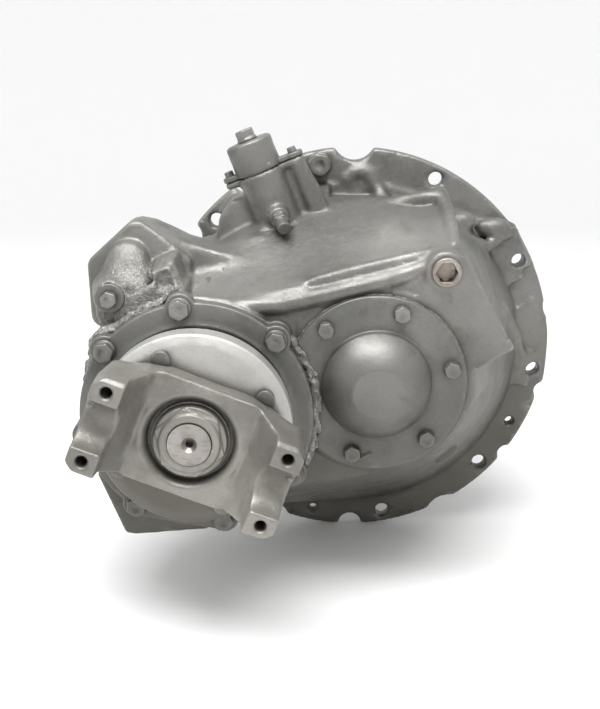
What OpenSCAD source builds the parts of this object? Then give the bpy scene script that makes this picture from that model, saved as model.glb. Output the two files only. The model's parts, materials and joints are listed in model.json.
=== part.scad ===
// Front drive-axle carrier with an offset transfer gear train, an inter-axle differential,
// a bevel final drive, a wheel differential and two air-shifted differential locks.
// Millimetres. +X right, +Z up, the input yoke faces -Y. The origin is the centre of the
// mounting flange, on the face that bolts to the axle housing.
// Depths in front of that face are called "forward" and are positive towards -Y.

/* [Mounting flange] */
// Radius of the flange rim
flange_r = 245; // [242:1:250]
// Thickness of the flange
flange_t = 20; // [16:1:22]
// Bolt circle diameter of the flange
flange_pcd = 458; // [456:1:460]
// Radius of the five plain flange bolt holes
flange_hole_r = 8.5; // [8.5:0.1:9]
// Angle of the first flange bolt hole
flange_phase = 28.6; // [27:0.1:30]

/* [Shaft layout] */
// Sideways place of the drive pinion's axis
pinion_x = 17; // [15:1:19]
// Height of the drive pinion's axis
pinion_z = 12; // [10:1:14]
// Direction from the pinion axis to the input axis
input_dir = 189.2; // [188:0.1:191]
// Lean of the wheel differential's axis from upright
diff_tilt = 21.5; // [21:0.5:22]
// Distance of the wheel differential's axis behind the flange face
diff_back = 85; // [84:1:87]

/* [Gears] */
// Module of the two transfer gears
drop_module = 5; // [5:1:5]
// Teeth of the upper transfer gear
upper_teeth = 40; // [40:1:40]
// Teeth of the lower transfer gear
lower_teeth = 38; // [38:1:38]
// Module of the final drive
final_module = 9; // [9:1:9]
// Teeth of the drive pinion
pinion_teeth = 9; // [9:1:9]
// Teeth of the ring gear
ring_teeth = 37; // [37:1:37]
// Teeth of every differential side gear
side_teeth = 16; // [16:4:16]
// Teeth of every differential pinion
spider_teeth = 10; // [10:2:10]
// Module of the wheel differential's gears
wheel_module = 6.5; // [6.5:0.1:6.6]
// Module of the inter-axle differential's gears
inter_module = 5.5; // [5.4:0.1:5.5]

/* [Input yoke] */
// Turn of the yoke about its shaft at rest
yoke_turn = -21.5; // [-25:0.5:-18]
// Half the width over the yoke's ears
yoke_half = 107; // [105:1:108]
// Radius of the half-round bearing saddles
saddle_r = 24.6; // [23:0.1:25]
// Radius of the threaded strap holes
strap_hole_r = 5.5; // [5:0.1:6]

/* [Covers] */
// Radius of the domed pinion cover's flange
cover_r = 97; // [95:1:98]
// Radius of the dome where it leaves the flange
dome_r = 60; // [57:1:62]
// Height of the dome above the cover's flange
dome_h = 40; // [36:1:42]
// Radius of the input cover between its bolts
input_cover_r = 125; // [123:1:126]

/* [Locks] */
// Travel of each differential lock
lock_travel = 8.5; // [8:0.5:8.5]

/* [Hidden] */
$fn = 64;
EPS = 0.01;
PRESS_GAP = 0.05;      // between pieces that are fitted together and do not move apart
RUN_GAP = 0.4;         // between pieces that turn or slide in each other

// Shafts
centre_distance = drop_module * (upper_teeth + lower_teeth) / 2;
input_x = pinion_x + centre_distance * cos(input_dir);
input_z = pinion_z + centre_distance * sin(input_dir);

// Depths forward of the flange face along the transfer case
gear_back = 134;       // back face of both transfer gears
gear_front = 174;      // front face of both transfer gears
case_front = 212;      // front face of the casting round the pinion
input_front = 222;     // front face of the casting round the input shaft
chamber_back = 129;
chamber_front = 180;
rear_seat = [94, 124];     // drive pinion's rear bearing
front_seat = [184, 206];   // drive pinion's front bearing
input_seat = [222, 250];   // input shaft's bearing
output_seat = [22, 46];    // rear side gear's bearing
inter_plane = 98;          // plane of the inter-axle pinions
inter_turn = 22.5;         // turn of the inter-axle cross at rest

// Outer radii of the bearings
rear_seat_r = 68;
front_seat_r = 56;
input_seat_r = 60;
output_seat_r = 46;
diff_seat_r = 62;

// Pitch cone of the final drive
ring_delta = atan(ring_teeth / pinion_teeth);
final_cone = final_module * sqrt(pow(ring_teeth, 2) + pow(pinion_teeth, 2)) / 2;

// Parts that repeat
bell_r = 206;
cover_bolt_r = 82;
cover_bolt_angles = [12, 72, 132, 252, 312];
input_bolt_r = 120;
input_bolt_angles = [45, 97, 142, 190, 236, 283, 328];
deflector_bolt_r = 84;
deflector_bolt_angles = [48, 132, 228, 312];
fitted_hole_r = 8.1;
jack_angles = [-26.5, -102.3];
rim_scallops = [[90, 16, 26], [118.6, 28, 34], [147, 20, 24], [11, 3, 20], [-14, 5, 12], [-36, 7, 11],
    [-61, 7, 30], [-90, 15, 15], [-113, 8, 18]];
plug_at = [88, 134];
lock_rod_at = [-42.5, 75];       // wheel lock's rod: along the differential's own x, and forward
lock_switch_way = [112, 0, 6];   // way that the wheel lock's switch points
lock_switch_at = 202;            // how far up the rod it stands
lock_switch_seat = 34.5;         // how far out from the rod
fork_rod_at = [-268, 103];     // inter-axle lock's rod

// Wheel differential, measured along its axis from the pinion's axis
bearing_span = [95, 121];
pedestal_span = [92, 136];
hub_end = 138;
dog_h = 6;
sleeve_low = hub_end + lock_travel + 0.5;   // tips of the lock sleeve's dogs at rest
sleeve_top = 176;
groove_low = 159;
groove_h = 11;

// ---------- placing ----------
module forward(x, z, f) { translate([x, -f, z]) rotate([90, 0, 0]) children(); }
module at_pinion(f) { forward(pinion_x, pinion_z, f) children(); }
module at_input(f) { forward(input_x, input_z, f) children(); }
module in_diff() { translate([pinion_x, diff_back, pinion_z]) rotate([0, -diff_tilt, 0]) children(); }
module along_lock_rod(h) { in_diff() translate([lock_rod_at[0], -diff_back - lock_rod_at[1], h]) children(); }
module around(angles, r) { for (a = angles) rotate([0, 0, a]) translate([r, 0, 0]) children(); }
function spaced(count, first = 0) = [for (i = [0 : count - 1]) first + i * 360 / count];

// ---------- plain pieces ----------
module tube(r_out, r_in, h) {
    difference() {
        cylinder(r = r_out, h = h);
        translate([0, 0, -1]) cylinder(r = r_in, h = h + 2);
    }
}

// A flanged hex screw: the seat is at z = 0 and the shank runs down
module hex_screw(flats, head_h, shank_r, shank_h, collar_r) {
    cylinder(r = collar_r, h = head_h * 0.25);
    cylinder(r = flats / 2 / cos(30), h = head_h, $fn = 6);
    translate([0, 0, -shank_h]) cylinder(r = shank_r, h = shank_h + EPS);
}

// The outer ring of a taper roller bearing, its thick end at z = 0. width is the whole bearing's
module bearing_cup(r_out, width, h) {
    r_in = r_out - width * 0.3;
    rotate_extrude() polygon([[r_in, 0], [r_out, 0], [r_out, h], [r_in + h * 0.12, h]]);
}

// The inner ring and rollers that go in bearing_cup(r_out, width, h), its thick end at z = h
module bearing_cone(r_out, width, h) {
    roller_r = width * 0.16;
    bed = r_out - width * 0.3 - 0.4 - 2 * roller_r + 0.2;
    count = floor(PI * (bed + roller_r) / roller_r * 0.82);
    bore = r_out - width + PRESS_GAP;
    far = bed + h * 0.12;
    rotate_extrude() polygon([[bore, 0], [bed + 1, 0], [bed + 1, 2], [bed + 0.24, 2],
        [far - 0.3, h - 2.5], [far + 1.5, h - 2.5], [far + 1.5, h], [bore, h]]);
    around(spaced(count), bed - 0.2 + roller_r) rotate([0, atan(0.12), 0]) translate([0, 0, 3])
        cylinder(r = roller_r, h = h - 6.5, $fn = 20);
}

// ---------- gears ----------
function inv(a) = tan(a) - a * PI / 180;
// Half the angle that an involute tooth takes up at radius r, in degrees
function half_angle(r, pitch_r, base_r, pressure, half_thick) =
    (half_thick / pitch_r + inv(pressure) - inv(r <= base_r ? 0 : acos(base_r / r))) * 180 / PI;

// Spur gear outline with its first tooth centred on +X
module spur_outline(m, teeth, slack) {
    pitch = m * teeth / 2;
    base = pitch * cos(20);
    root = pitch - 1.3 * m;
    radii = [pitch - 0.95 * m, pitch - 0.5 * m, pitch, pitch + 0.5 * m, pitch + 0.95 * m];
    flank = [for (r = radii) half_angle(r, pitch, base, 20, m * PI / 4 - slack)];
    polygon([for (i = [0 : teeth - 1]) let (a = i * 360 / teeth) each concat(
        [[root * cos(a - 360 / teeth / 2), root * sin(a - 360 / teeth / 2)]],
        [[root * cos(a - flank[0] - 0.4), root * sin(a - flank[0] - 0.4)]],
        [for (k = [0 : 4]) [radii[k] * cos(a - flank[k]), radii[k] * sin(a - flank[k])]],
        [for (k = [4 : -1 : 0]) [radii[k] * cos(a + flank[k]), radii[k] * sin(a + flank[k])]],
        [[root * cos(a + flank[0] + 0.4), root * sin(a + flank[0] + 0.4)]])]);
}

// A point v above the pitch cone on the back cone, turned by a, at scale k
function bevel_point(cone, delta, v, a, k) =
    let (r = (cone * sin(delta) + v * cos(delta)) * k, z = (cone * cos(delta) - v * sin(delta)) * k)
    [r * cos(a), r * sin(a), z];

// Toothed crown of a straight bevel gear, its apex at the origin and its first tooth on +X.
// rim is how far the solid goes on down the back cone below the roots.
module bevel_crown(cone, delta, width, teeth, addendum, dedendum, half_thick, rim, pressure = 22.5) {
    virtual = cone * tan(delta);
    base = virtual * cos(pressure);
    heights = [-dedendum, -dedendum * 0.55, 0, addendum * 0.5, addendum];
    halves = [for (v = heights) half_angle(virtual + v, virtual, base, pressure, half_thick) / cos(delta)];
    pitch = 360 / teeth;
    last = len(heights) - 1;
    line = [for (i = [0 : teeth - 1]) each concat(
        [for (k = [0 : last]) [heights[k], i * pitch - halves[k]]],
        [for (k = [last : -1 : 0]) [heights[k], i * pitch + halves[k]]],
        [[-dedendum, (i + 0.5) * pitch]])];
    n = len(line);
    k = (cone - width) / cone;
    edge = -dedendum - rim;
    points = concat(
        [for (q = line) bevel_point(cone, delta, q[0], q[1], 1)],
        [for (q = line) bevel_point(cone, delta, q[0], q[1], k)],
        [for (q = line) bevel_point(cone, delta, edge, q[1], 1)],
        [for (q = line) bevel_point(cone, delta, edge, q[1], k)]);
    faces = concat(
        [for (i = [0 : n - 1]) let (j = (i + 1) % n) [i, j, j + n, i + n]],
        [for (i = [0 : n - 1]) let (j = (i + 1) % n) [j, i, i + 2 * n]],
        [for (i = [0 : n - 1]) let (j = (i + 1) % n) [j, i + 2 * n, j + 2 * n]],
        [for (i = [0 : n - 1]) let (j = (i + 1) % n) [i + n, j + n, i + 3 * n]],
        [for (i = [0 : n - 1]) let (j = (i + 1) % n) [j + n, j + 3 * n, i + 3 * n]],
        [[for (i = [0 : n - 1]) i + 2 * n]],
        [[for (i = [n - 1 : -1 : 0]) i + 3 * n]]);
    polyhedron(points, faces);
}
function crown_r(cone, delta, dedendum, rim) = cone * sin(delta) - (dedendum + rim) * cos(delta);
function crown_z(cone, delta, dedendum, rim) = cone * cos(delta) + (dedendum + rim) * sin(delta);

// Side gear without its bore, its teeth on the gap's line at +X and its back face at z = back
module side_gear(m, back, slack) {
    delta = atan(side_teeth / spider_teeth);
    cone = m * sqrt(pow(side_teeth, 2) + pow(spider_teeth, 2)) / 2;
    root = 1.15 * m;
    rim = 0.45 * m;
    boss_z = crown_z(cone, delta, root, rim) - 2;
    rotate([0, 0, 180 / side_teeth])
        bevel_crown(cone, delta, cone * 0.26, side_teeth, 0.6 * m, root, m * PI / 4 * 0.92 - slack, rim);
    translate([0, 0, boss_z]) cylinder(r = crown_r(cone, delta, root, rim) - 1, h = back - boss_z);
}

module spider_pinion(m, bore, slack) {
    delta = atan(spider_teeth / side_teeth);
    cone = m * sqrt(pow(side_teeth, 2) + pow(spider_teeth, 2)) / 2;
    difference() {
        union() {
            bevel_crown(cone, delta, cone * 0.26, spider_teeth, 0.95 * m, 0.8 * m,
                m * PI / 4 * 1.08 - slack, 0.4 * m);
            translate([0, 0, cone * cos(delta) - 0.4 * m])
                cylinder(r = crown_r(cone, delta, 0.8 * m, 0.4 * m) - 1, h = m * 2);
        }
        cylinder(r = bore, h = 200);
    }
}

// A ring of face dogs that fills half of each pitch
module dogs(r_out, r_in, h, teeth) {
    share = 0.42;
    linear_extrude(h) for (i = [0 : teeth - 1]) rotate([0, 0, i * 360 / teeth]) polygon([
        for (s = [-1, 1]) [r_out * cos(s * share * 180 / teeth), s * r_out * sin(share * 180 / teeth)],
        for (s = [1, -1]) [r_in * cos(s * share * 180 / teeth), s * r_in * sin(share * 180 / teeth)]]);
}

// ---------- castings ----------
module flange_outline() {
    difference() {
        circle(r = flange_r, $fn = 120);
        // [angle, depth, radius] of each scallop in the rim
        for (n = rim_scallops) rotate(n[0]) translate([flange_r - n[1] + n[2], 0]) circle(r = n[2], $fn = 32);
    }
}

module case_slab(f0, f1, grow) {
    forward(0, 0, f0) linear_extrude(f1 - f0) {
        translate([input_x, input_z]) circle(r = 121 + grow, $fn = 40);
        translate([pinion_x, pinion_z]) circle(r = 111 + grow, $fn = 40);
        translate(plug_at - [2, 0]) circle(r = 19 + grow, $fn = 24);
    }
}

// The tapering body from the flange to the transfer case
module body_shell() {
    hull() {
        case_slab(162, 200, 0);
        case_slab(200, 209, -7);
        forward(0, 0, flange_t - 2) cylinder(r = bell_r, h = 8, $fn = 60);
    }
}

// The flat plate right of the pinion cover, which carries the filler plug
module front_plate() {
    hull() {
        forward(plug_at[0], plug_at[1], 176) cylinder(r = 20, h = case_front + 2 - 176, $fn = 24);
        forward(156, 55, 190) cylinder(r = 4, h = case_front - 190, $fn = 12);
        forward(62, 40, 176) cylinder(r = 20, h = case_front - 8 - 176, $fn = 24);
        forward(126, 96, 60) cylinder(r = 10, h = 20, $fn = 12);
    }
}

// The lobe at the input side that holds the inter-axle lock
module lock_lobe() {
    // rim plate with a rounded apex
    hull() {
        forward(-246, 160, 116) cylinder(r = 16, h = 30, $fn = 24);
        forward(-290, 126, 116) cylinder(r = 12, h = 30, $fn = 24);
        forward(-286, 70, 116) cylinder(r = 14, h = 34, $fn = 24);
        forward(-190, 100, 100) cylinder(r = 30, h = 50, $fn = 24);
    }
    // raised panel inside the rim
    hull() {
        forward(-254, 134, 130) cylinder(r = 22, h = 34, $fn = 24);
        forward(-276, 106, 130) cylinder(r = 17, h = 40, $fn = 24);
        forward(-250, 82, 130) cylinder(r = 34, h = 68, $fn = 24);
    }
}

module input_pad_outline(r, lobe) {
    circle(r = r, $fn = 96);
    for (a = input_bolt_angles) rotate(a) translate([input_bolt_r, 0]) circle(r = lobe, $fn = 32);
    // straight edge between the two lowest bolts
    low = [input_bolt_angles[4], input_bolt_angles[5]];
    rim = input_bolt_r + lobe - 0.5;
    polygon([[0, 0], rim * [cos(low[0]), sin(low[0])], rim * [cos(low[1]), sin(low[1])]]);
}

module pedestal() {
    // blocks under the differential's bearings, joined to the front wall of the bell
    for (s = [0, 1]) mirror([0, 0, s]) translate([-80, -diff_back - 108, pedestal_span[0]])
        cube([160, diff_back + 108 - PRESS_GAP, pedestal_span[1] - pedestal_span[0]]);
}

// The tower of the wheel lock, measured along its rod
module lock_tower() {
    along_lock_rod(118) cylinder(r = 27, h = 126);
    along_lock_rod(128) translate([-27, 0, 0]) cube([54, 66, 70]);
    along_lock_rod(142) translate([43, 0, 0]) cylinder(r = 10, h = 102, $fn = 32);
    along_lock_rod(130) translate([8, -5, 0]) cube([35, 10, 110]);
    along_lock_rod(236) linear_extrude(8) lock_plate();
    along_lock_rod(lock_switch_at) rotate(lock_switch_way)
        cylinder(r = 12, h = lock_switch_seat - PRESS_GAP, $fn = 32);
}
// The plate under the lock cap
module lock_plate() {
    circle(r = 27, $fn = 48);
    translate([-34, 0]) circle(r = 9, $fn = 32);
    translate([43, 0]) circle(r = 11, $fn = 32);
    translate([20, -9]) square([26, 18]);
    translate([-34, -9]) square([20, 18]);
}

module carrier_housing() color([0.42, 0.43, 0.42]) {
    difference() {
        union() {
            mounting_flange();
            body_shell();
            front_plate();
            lock_lobe();
            lock_tower();
            at_input(150) linear_extrude(input_front - 150) input_pad_outline(input_cover_r, 16);
            forward(0, 0, 156) linear_extrude(50) polygon([[-292, -98], [-263, -170], [-252, -172],
                [-168, -165], [-150, -60], [-240, -20]]);
            at_input(0) cylinder(r = 58, h = 60);
            at_input(40) cylinder(r = 84, h = 112);
            at_pinion(200) cylinder(r1 = 108, r2 = cover_r + 3, h = case_front - 200);
            forward(plug_at[0], plug_at[1], 190) cylinder(r = 19, h = case_front + 4 - 190);
            forward(fork_rod_at[0], fork_rod_at[1], 164) cylinder(r1 = 27, r2 = 17, h = 40);
        }
        difference() {
            union() {
                // inside of the bell
                forward(0, 0, -1) cylinder(r1 = 194.5, r2 = 134, h = 113);
                in_diff() translate([0, 0, -92]) cylinder(r = 178, h = 70);
                at_input(output_seat[1] + 3) cylinder(r = 70, h = chamber_back - output_seat[1]);
            }
            at_pinion(rear_seat[0] - 4) cylinder(r = rear_seat_r + 14, h = 60);
            at_input(-2) cylinder(r = 58, h = output_seat[1] + 5);
            difference() {
                in_diff() pedestal();
                in_diff() translate([0, 0, -pedestal_span[0] - 11]) cylinder(r = 148, h = 12);
                in_diff() translate([0, 0, -pedestal_span[0] - EPS]) cylinder(r = 178, h = 70);
                at_input(output_seat[1] + 3) cylinder(r = 70, h = chamber_back - output_seat[1]);
            }
        }
        at_pinion(-1) cylinder(r = 60, h = rear_seat[0] + 1);
        // transfer gear chamber
        at_input(chamber_back) cylinder(r = 108, h = chamber_front - chamber_back);
        at_pinion(chamber_back) cylinder(r = 103, h = chamber_front - chamber_back);
        at_input(chamber_front - 1) cylinder(r = 100, h = 60);
        // bearing seats
        at_pinion(rear_seat[0] - 1) cylinder(r = rear_seat_r + PRESS_GAP, h = rear_seat[1] - rear_seat[0] + 1);
        at_pinion(rear_seat[1] - 1) cylinder(r = rear_seat_r - 10, h = 20);
        at_pinion(chamber_front - 1) cylinder(r = front_seat_r - 8, h = 10);
        at_pinion(front_seat[0]) cylinder(r = front_seat_r + PRESS_GAP, h = 30);
        at_pinion(front_seat[1]) cylinder(r = 70, h = 60);
        at_input(output_seat[0]) cylinder(r = output_seat_r + PRESS_GAP, h = 60);
        at_input(-3) cylinder(r = output_seat_r - 8, h = 60);
        in_diff() translate([0, 0, -200]) cylinder(r = diff_seat_r + PRESS_GAP, h = 400);
        // wheel lock: liner, rod and fork
        along_lock_rod(196) cylinder(r = 23 + PRESS_GAP, h = 60);
        along_lock_rod(140) cylinder(r = 9 + RUN_GAP, h = 70);
        along_lock_rod(138) cylinder(r = 20, h = 50);
        along_lock_rod(138) translate([-20, 0, 0]) cube([40, 160, 50]);
        in_diff() translate([0, 0, pedestal_span[1]]) cylinder(r = 72, h = 52);
        for (x = [-34, 43]) along_lock_rod(232) translate([x, 0, 0]) cylinder(r = 3.1, h = 20, $fn = 24);
        // inter-axle lock: rod, fork and cylinder
        forward(fork_rod_at[0], fork_rod_at[1], 136) cylinder(r = 8 + RUN_GAP, h = 66);
        forward(0, 0, 171) linear_extrude(24) fork_sweep(10, 150);
        forward(0, 0, 190) linear_extrude(18) fork_sweep(10, 121);
        forward(fork_rod_at[0], fork_rod_at[1], 170) cylinder(r = 14, h = 44);
        // holes
        forward(0, 0, -1) around(spaced(5, flange_phase + 36), flange_pcd / 2)
            cylinder(r = flange_hole_r, h = 60);
        // the other five holes are reamed for fitted bolts
        forward(0, 0, -1) around(spaced(5, flange_phase), flange_pcd / 2)
            cylinder(r = fitted_hole_r, h = 60);
        forward(0, 0, -1) around(jack_angles, flange_pcd / 2 - 2) cylinder(r = 5, h = 60);
        at_pinion(case_front - 24) around(cover_bolt_angles, cover_bolt_r) cylinder(r = 5.1, h = 40);
        at_input(input_front - 30) around(input_bolt_angles, input_bolt_r) cylinder(r = 6.1, h = 40);
        forward(plug_at[0], plug_at[1], 192) cylinder(r = 11.1, h = 80);
        in_diff() for (s = [0, 1]) mirror([0, 0, s]) for (x = [-1, 1])
            translate([x * 69, -60, (pedestal_span[0] + pedestal_span[1]) / 2]) rotate([-90, 0, 0])
                cylinder(r = 7.1, h = 80);
    }
}

// The flange with raised pads round the holes at the right
module mounting_flange() {
    forward(0, 0, 0) linear_extrude(flange_t) flange_outline();
    for (a = [0, -36]) forward(0, 0, 10) linear_extrude(20) rotate(flange_phase + a)
        translate([flange_pcd / 2 - 32, 0]) square([60, 46], center = true);
}

// The path of the inter-axle fork from the input shaft's bore out to reach
module fork_sweep(half_width, reach) {
    at = fork_rod_at - [input_x, input_z];
    translate([input_x, input_z]) rotate(atan2(at[1], at[0]))
        translate([80, -half_width]) square([reach - 80, 2 * half_width]);
}

// ---------- covers ----------
module pinion_cover() color([0.4, 0.41, 0.41]) {
    difference() {
        union() {
            at_pinion(case_front + 0.8) linear_extrude(9) difference() {
                circle(r = cover_r, $fn = 96);
                translate([input_x - pinion_x, input_z - pinion_z]) circle(r = input_cover_r + 6, $fn = 96);
            }
            at_pinion(case_front + 9) rotate_extrude() dome_outline(0);
        }
        at_pinion(case_front) rotate_extrude() translate([0, -EPS]) dome_outline(-6);
        at_pinion(case_front) around(cover_bolt_angles, cover_bolt_r) cylinder(r = 5.4, h = 40);
    }
}

// Half section of the dome: a short wall that turns over into a shallow cap
module dome_outline(grow) {
    steps = 12;
    power = 2.5;
    r = dome_r + grow;
    h = dome_h + (grow < 0 ? grow + 9 : 0);
    polygon(concat([[0, 0]], [for (i = [0 : steps]) let (a = i * 90 / steps)
        [r * pow(cos(a), 2 / power), h * pow(sin(a), 2 / power)]]));
}

module cover_gaskets() color([0.16, 0.16, 0.16]) {
    at_pinion(case_front) linear_extrude(0.8) difference() {
        circle(r = cover_r, $fn = 96);
        circle(r = 71);
        translate([input_x - pinion_x, input_z - pinion_z]) circle(r = input_cover_r + 6, $fn = 96);
        for (a = cover_bolt_angles) rotate(a) translate([cover_bolt_r, 0]) circle(r = 5.4);
    }
    at_input(input_front) linear_extrude(1) difference() {
        input_pad_outline(input_cover_r, 16);
        circle(r = 101);
        for (a = input_bolt_angles) rotate(a) translate([input_bolt_r, 0]) circle(r = 6.4);
    }
}

module pinion_cover_bolts() color([0.5, 0.5, 0.49]) {
    at_pinion(case_front + 9.8) around(cover_bolt_angles, cover_bolt_r) hex_screw(16, 9, 5, 28, 9.5);
}

module input_cover() color([0.44, 0.44, 0.43]) {
    seat = input_seat_r + PRESS_GAP;
    difference() {
        union() {
            at_input(input_front + 1) linear_extrude(17) input_pad_outline(input_cover_r, 16);
            at_input(input_front - 6) cylinder(r = 99.6, h = 10);
            at_input(input_front + 10) cylinder(r1 = 98, r2 = 74, h = 40);
            at_input(input_front + 40) cylinder(r = 66, h = 16);
        }
        at_input(input_front - 10) cylinder(r = seat, h = input_seat[1] - input_front + 10);
        at_input(input_front) cylinder(r = seat - 9, h = 80);
        at_input(input_front) around(input_bolt_angles, input_bolt_r) cylinder(r = 6.4, h = 40);
    }
}

module input_cover_bolts() color([0.5, 0.5, 0.49]) {
    at_input(input_front + 18) around(input_bolt_angles, input_bolt_r) hex_screw(19, 12, 6, 40, 12.5);
}

module input_oil_seal() color([0.12, 0.12, 0.12]) {
    at_input(input_seat[1] + 10) tube(input_seat_r - 9 - PRESS_GAP, 42 + RUN_GAP, 14);
}

module fill_plug() color([0.62, 0.58, 0.55]) {
    forward(plug_at[0], plug_at[1], case_front + 4) difference() {
        union() {
            cylinder(r = 15.5, h = 7);
            translate([0, 0, -18]) cylinder(r = 11, h = 19);
        }
        translate([0, 0, -4]) cylinder(r = 10 / cos(30), h = 20, $fn = 6);
    }
}

module flange_bolt() color([0.55, 0.55, 0.54]) {
    a = flange_phase + 72;
    forward(0, 0, flange_t) rotate([0, 0, a]) translate([flange_pcd / 2, 0, 0])
        hex_screw(24, 15, 8, 38, 15);
}

// ---------- input shaft ----------
module in_yoke(f) { at_input(f) rotate([0, 0, yoke_turn]) children(); }

// Outline of the yoke as its nut sees it
module yoke_plan() {
    quarter = [[48, 60], [74, 52], [80, 51], [yoke_half - 10, 51], [yoke_half, 42]];
    back = [for (i = [len(quarter) - 1 : -1 : 0]) quarter[i]];
    polygon(concat([for (q = quarter) q], [for (q = back) [q[0], -q[1]]],
        [for (q = quarter) [-q[0], -q[1]]], [for (q = back) [-q[0], q[1]]]));
}
// Half of the yoke's side view, as [across, forward]
yoke_side = [[0, 286], [62, 286], [99, 304], [yoke_half, 330], [yoke_half, 367], [76, 367], [74, 344],
    [55, 314], [0, 314]];
yoke_pad = 367;

module input_yoke() color([0.5, 0.47, 0.44]) {
    difference() {
        union() {
            in_yoke(254.1) cylinder(r = 41.5, h = 40);
            intersection() {
                in_yoke(280) linear_extrude(100) yoke_plan();
                in_yoke(0) rotate([90, 0, 0]) translate([0, 0, -70]) linear_extrude(140)
                    polygon(concat(yoke_side, [for (i = [len(yoke_side) - 2 : -1 : 1])
                        [-yoke_side[i][0], yoke_side[i][1]]]));
            }
        }
        in_yoke(250) cylinder(r = 25 + PRESS_GAP, h = 60);
        in_yoke(302) cylinder(r = 44, h = 60);
        for (turn = [0, 180]) in_yoke(0) rotate([0, 0, turn]) {
            translate([60, 0, yoke_pad]) rotate([0, 90, 0]) cylinder(r = saddle_r, h = 80);
            for (y = [-37, 37]) translate([91.5, y, 270]) cylinder(r = strap_hole_r, h = 120);
        }
        // room for the heads of the deflector's screws
        in_yoke(280) around(deflector_bolt_angles, deflector_bolt_r) cylinder(r = 10.5, h = 16);
    }
}

module yoke_washer() color([0.45, 0.45, 0.44]) { in_yoke(302) tube(40, 22.4, 4); }

module yoke_nut() color([0.52, 0.5, 0.48]) {
    in_yoke(306) difference() {
        union() {
            cylinder(r = 37, h = 3);
            cylinder(r = 32 / cos(30), h = 12, $fn = 6);
            cylinder(r = 29, h = 15);
        }
        translate([0, 0, -1]) cylinder(r = 22 + PRESS_GAP, h = 30);
    }
}

module dust_deflector() color([0.72, 0.72, 0.7]) {
    in_yoke(0) rotate_extrude() polygon([[41.6, 281], [90, 281], [100, 278], [100, 256], [103, 256],
        [103, 280], [92, 286], [41.6, 286]]);
}

module deflector_bolts() color([0.5, 0.5, 0.49]) {
    in_yoke(286 + PRESS_GAP) around(deflector_bolt_angles, deflector_bolt_r) cylinder(r = 9.5, h = 8);
}

module input_shaft() color([0.6, 0.59, 0.57]) {
    difference() {
        union() {
            at_input(212) cylinder(r = 36, h = 42);
            at_input(178) cylinder(r = 33, h = 36);
            at_input(118) cylinder(r = 26, h = 61);
            at_input(104) cylinder(r = 20, h = 30);
            at_input(253) cylinder(r = 25, h = 49);
            at_input(300) cylinder(r = 22, h = 23);
            // hub and cross arms that carry the inter-axle pinions
            at_input(inter_plane) translate([0, 0, -13]) cylinder(r = 20, h = 26);
            for (a = [0, 90]) at_input(inter_plane) rotate([0, 0, a + inter_turn]) rotate([0, 90, 0])
                translate([0, 0, -62]) cylinder(r = 10, h = 124, $fn = 32);
        }
        at_input(309) cylinder(r = 4, h = 20);
        at_input(319) cylinder(r1 = 4, r2 = 8, h = 4.01);
    }
}

module input_bearing_cone() color([0.7, 0.7, 0.7]) {
    at_input(input_seat[0] + 1) bearing_cone(input_seat_r, input_seat_r - 36, 26);
}
module input_bearing_cup() color([0.7, 0.7, 0.7]) {
    at_input(input_seat[0] + 1) bearing_cup(input_seat_r, input_seat_r - 36, 26);
}

// ---------- transfer gears and inter-axle differential ----------

module drop_gear_upper() color([0.55, 0.55, 0.56]) {
    at_input(0) difference() {
        union() {
            translate([0, 0, gear_back]) linear_extrude(gear_front - gear_back)
                rotate(input_dir + 180 + 180 / upper_teeth) spur_outline(drop_module, upper_teeth, 0.2);
            translate([0, 0, gear_front - 1]) cylinder(r = 42, h = 4.5);
            translate([0, 0, gear_front - EPS]) rotate([0, 0, 7.5]) dogs(54, 43, dog_h, 24);
            translate([0, 0, inter_plane]) rotate([0, 0, inter_turn])
                side_gear(inter_module, gear_back - inter_plane + 1, 0.5);
        }
        translate([0, 0, inter_plane]) cylinder(r = 26 + RUN_GAP, h = 120);
    }
}

module interaxle_pinion(i) color([0.6, 0.6, 0.6]) {
    at_input(inter_plane) rotate([0, 0, inter_turn + 90 * i]) rotate([0, 90, 0])
        spider_pinion(inter_module, 10 + RUN_GAP, 0.5);
}

module rear_side_gear() color([0.55, 0.55, 0.56]) {
    at_input(inter_plane) mirror([0, 0, 1]) difference() {
        union() {
            rotate([0, 0, inter_turn]) side_gear(inter_module, 45, 0.5);
            translate([0, 0, 43]) cylinder(r = 30, h = 35);
        }
        cylinder(r = 22 + PRESS_GAP, h = 100);
    }
}

module output_shaft() color([0.6, 0.59, 0.57]) {
    at_input(20) cylinder(r = 22, h = 56);
    at_input(-70) cylinder(r = 21, h = 91);
    at_input(-120) cylinder(r = 20, h = 51);
}

module output_bearing_cone() color([0.7, 0.7, 0.7]) {
    at_input(output_seat[0] + 1) bearing_cone(output_seat_r, output_seat_r - 30, 22);
}
module output_bearing_cup() color([0.7, 0.7, 0.7]) {
    at_input(output_seat[0] + 1) bearing_cup(output_seat_r, output_seat_r - 30, 22);
}

// ---------- final drive ----------

module drive_pinion() color([0.58, 0.57, 0.55]) {
    // the cones meet on the differential's axis, so the pinion's own z runs forward from there
    at_pinion(-diff_back) {
        rotate([0, 0, diff_tilt - 90]) bevel_crown(final_cone, 90 - ring_delta, 50, pinion_teeth,
            1.1 * final_module, 0.62 * final_module, (PI / 4 + 0.18) * final_module - 0.45, 5);
        translate([0, 0, 160]) cylinder(r = 28, h = diff_back + rear_seat[0] - 158);
    }
    at_pinion(rear_seat[0]) cylinder(r = 34, h = 37);
    at_pinion(rear_seat[0] + 30) cylinder(r = 31, h = gear_front + 4 - rear_seat[0] - 30);
    at_pinion(gear_front) cylinder(r = 28, h = front_seat[1] - gear_front);
    at_pinion(front_seat[1] - 1) cylinder(r = 24, h = 23);
}

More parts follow.
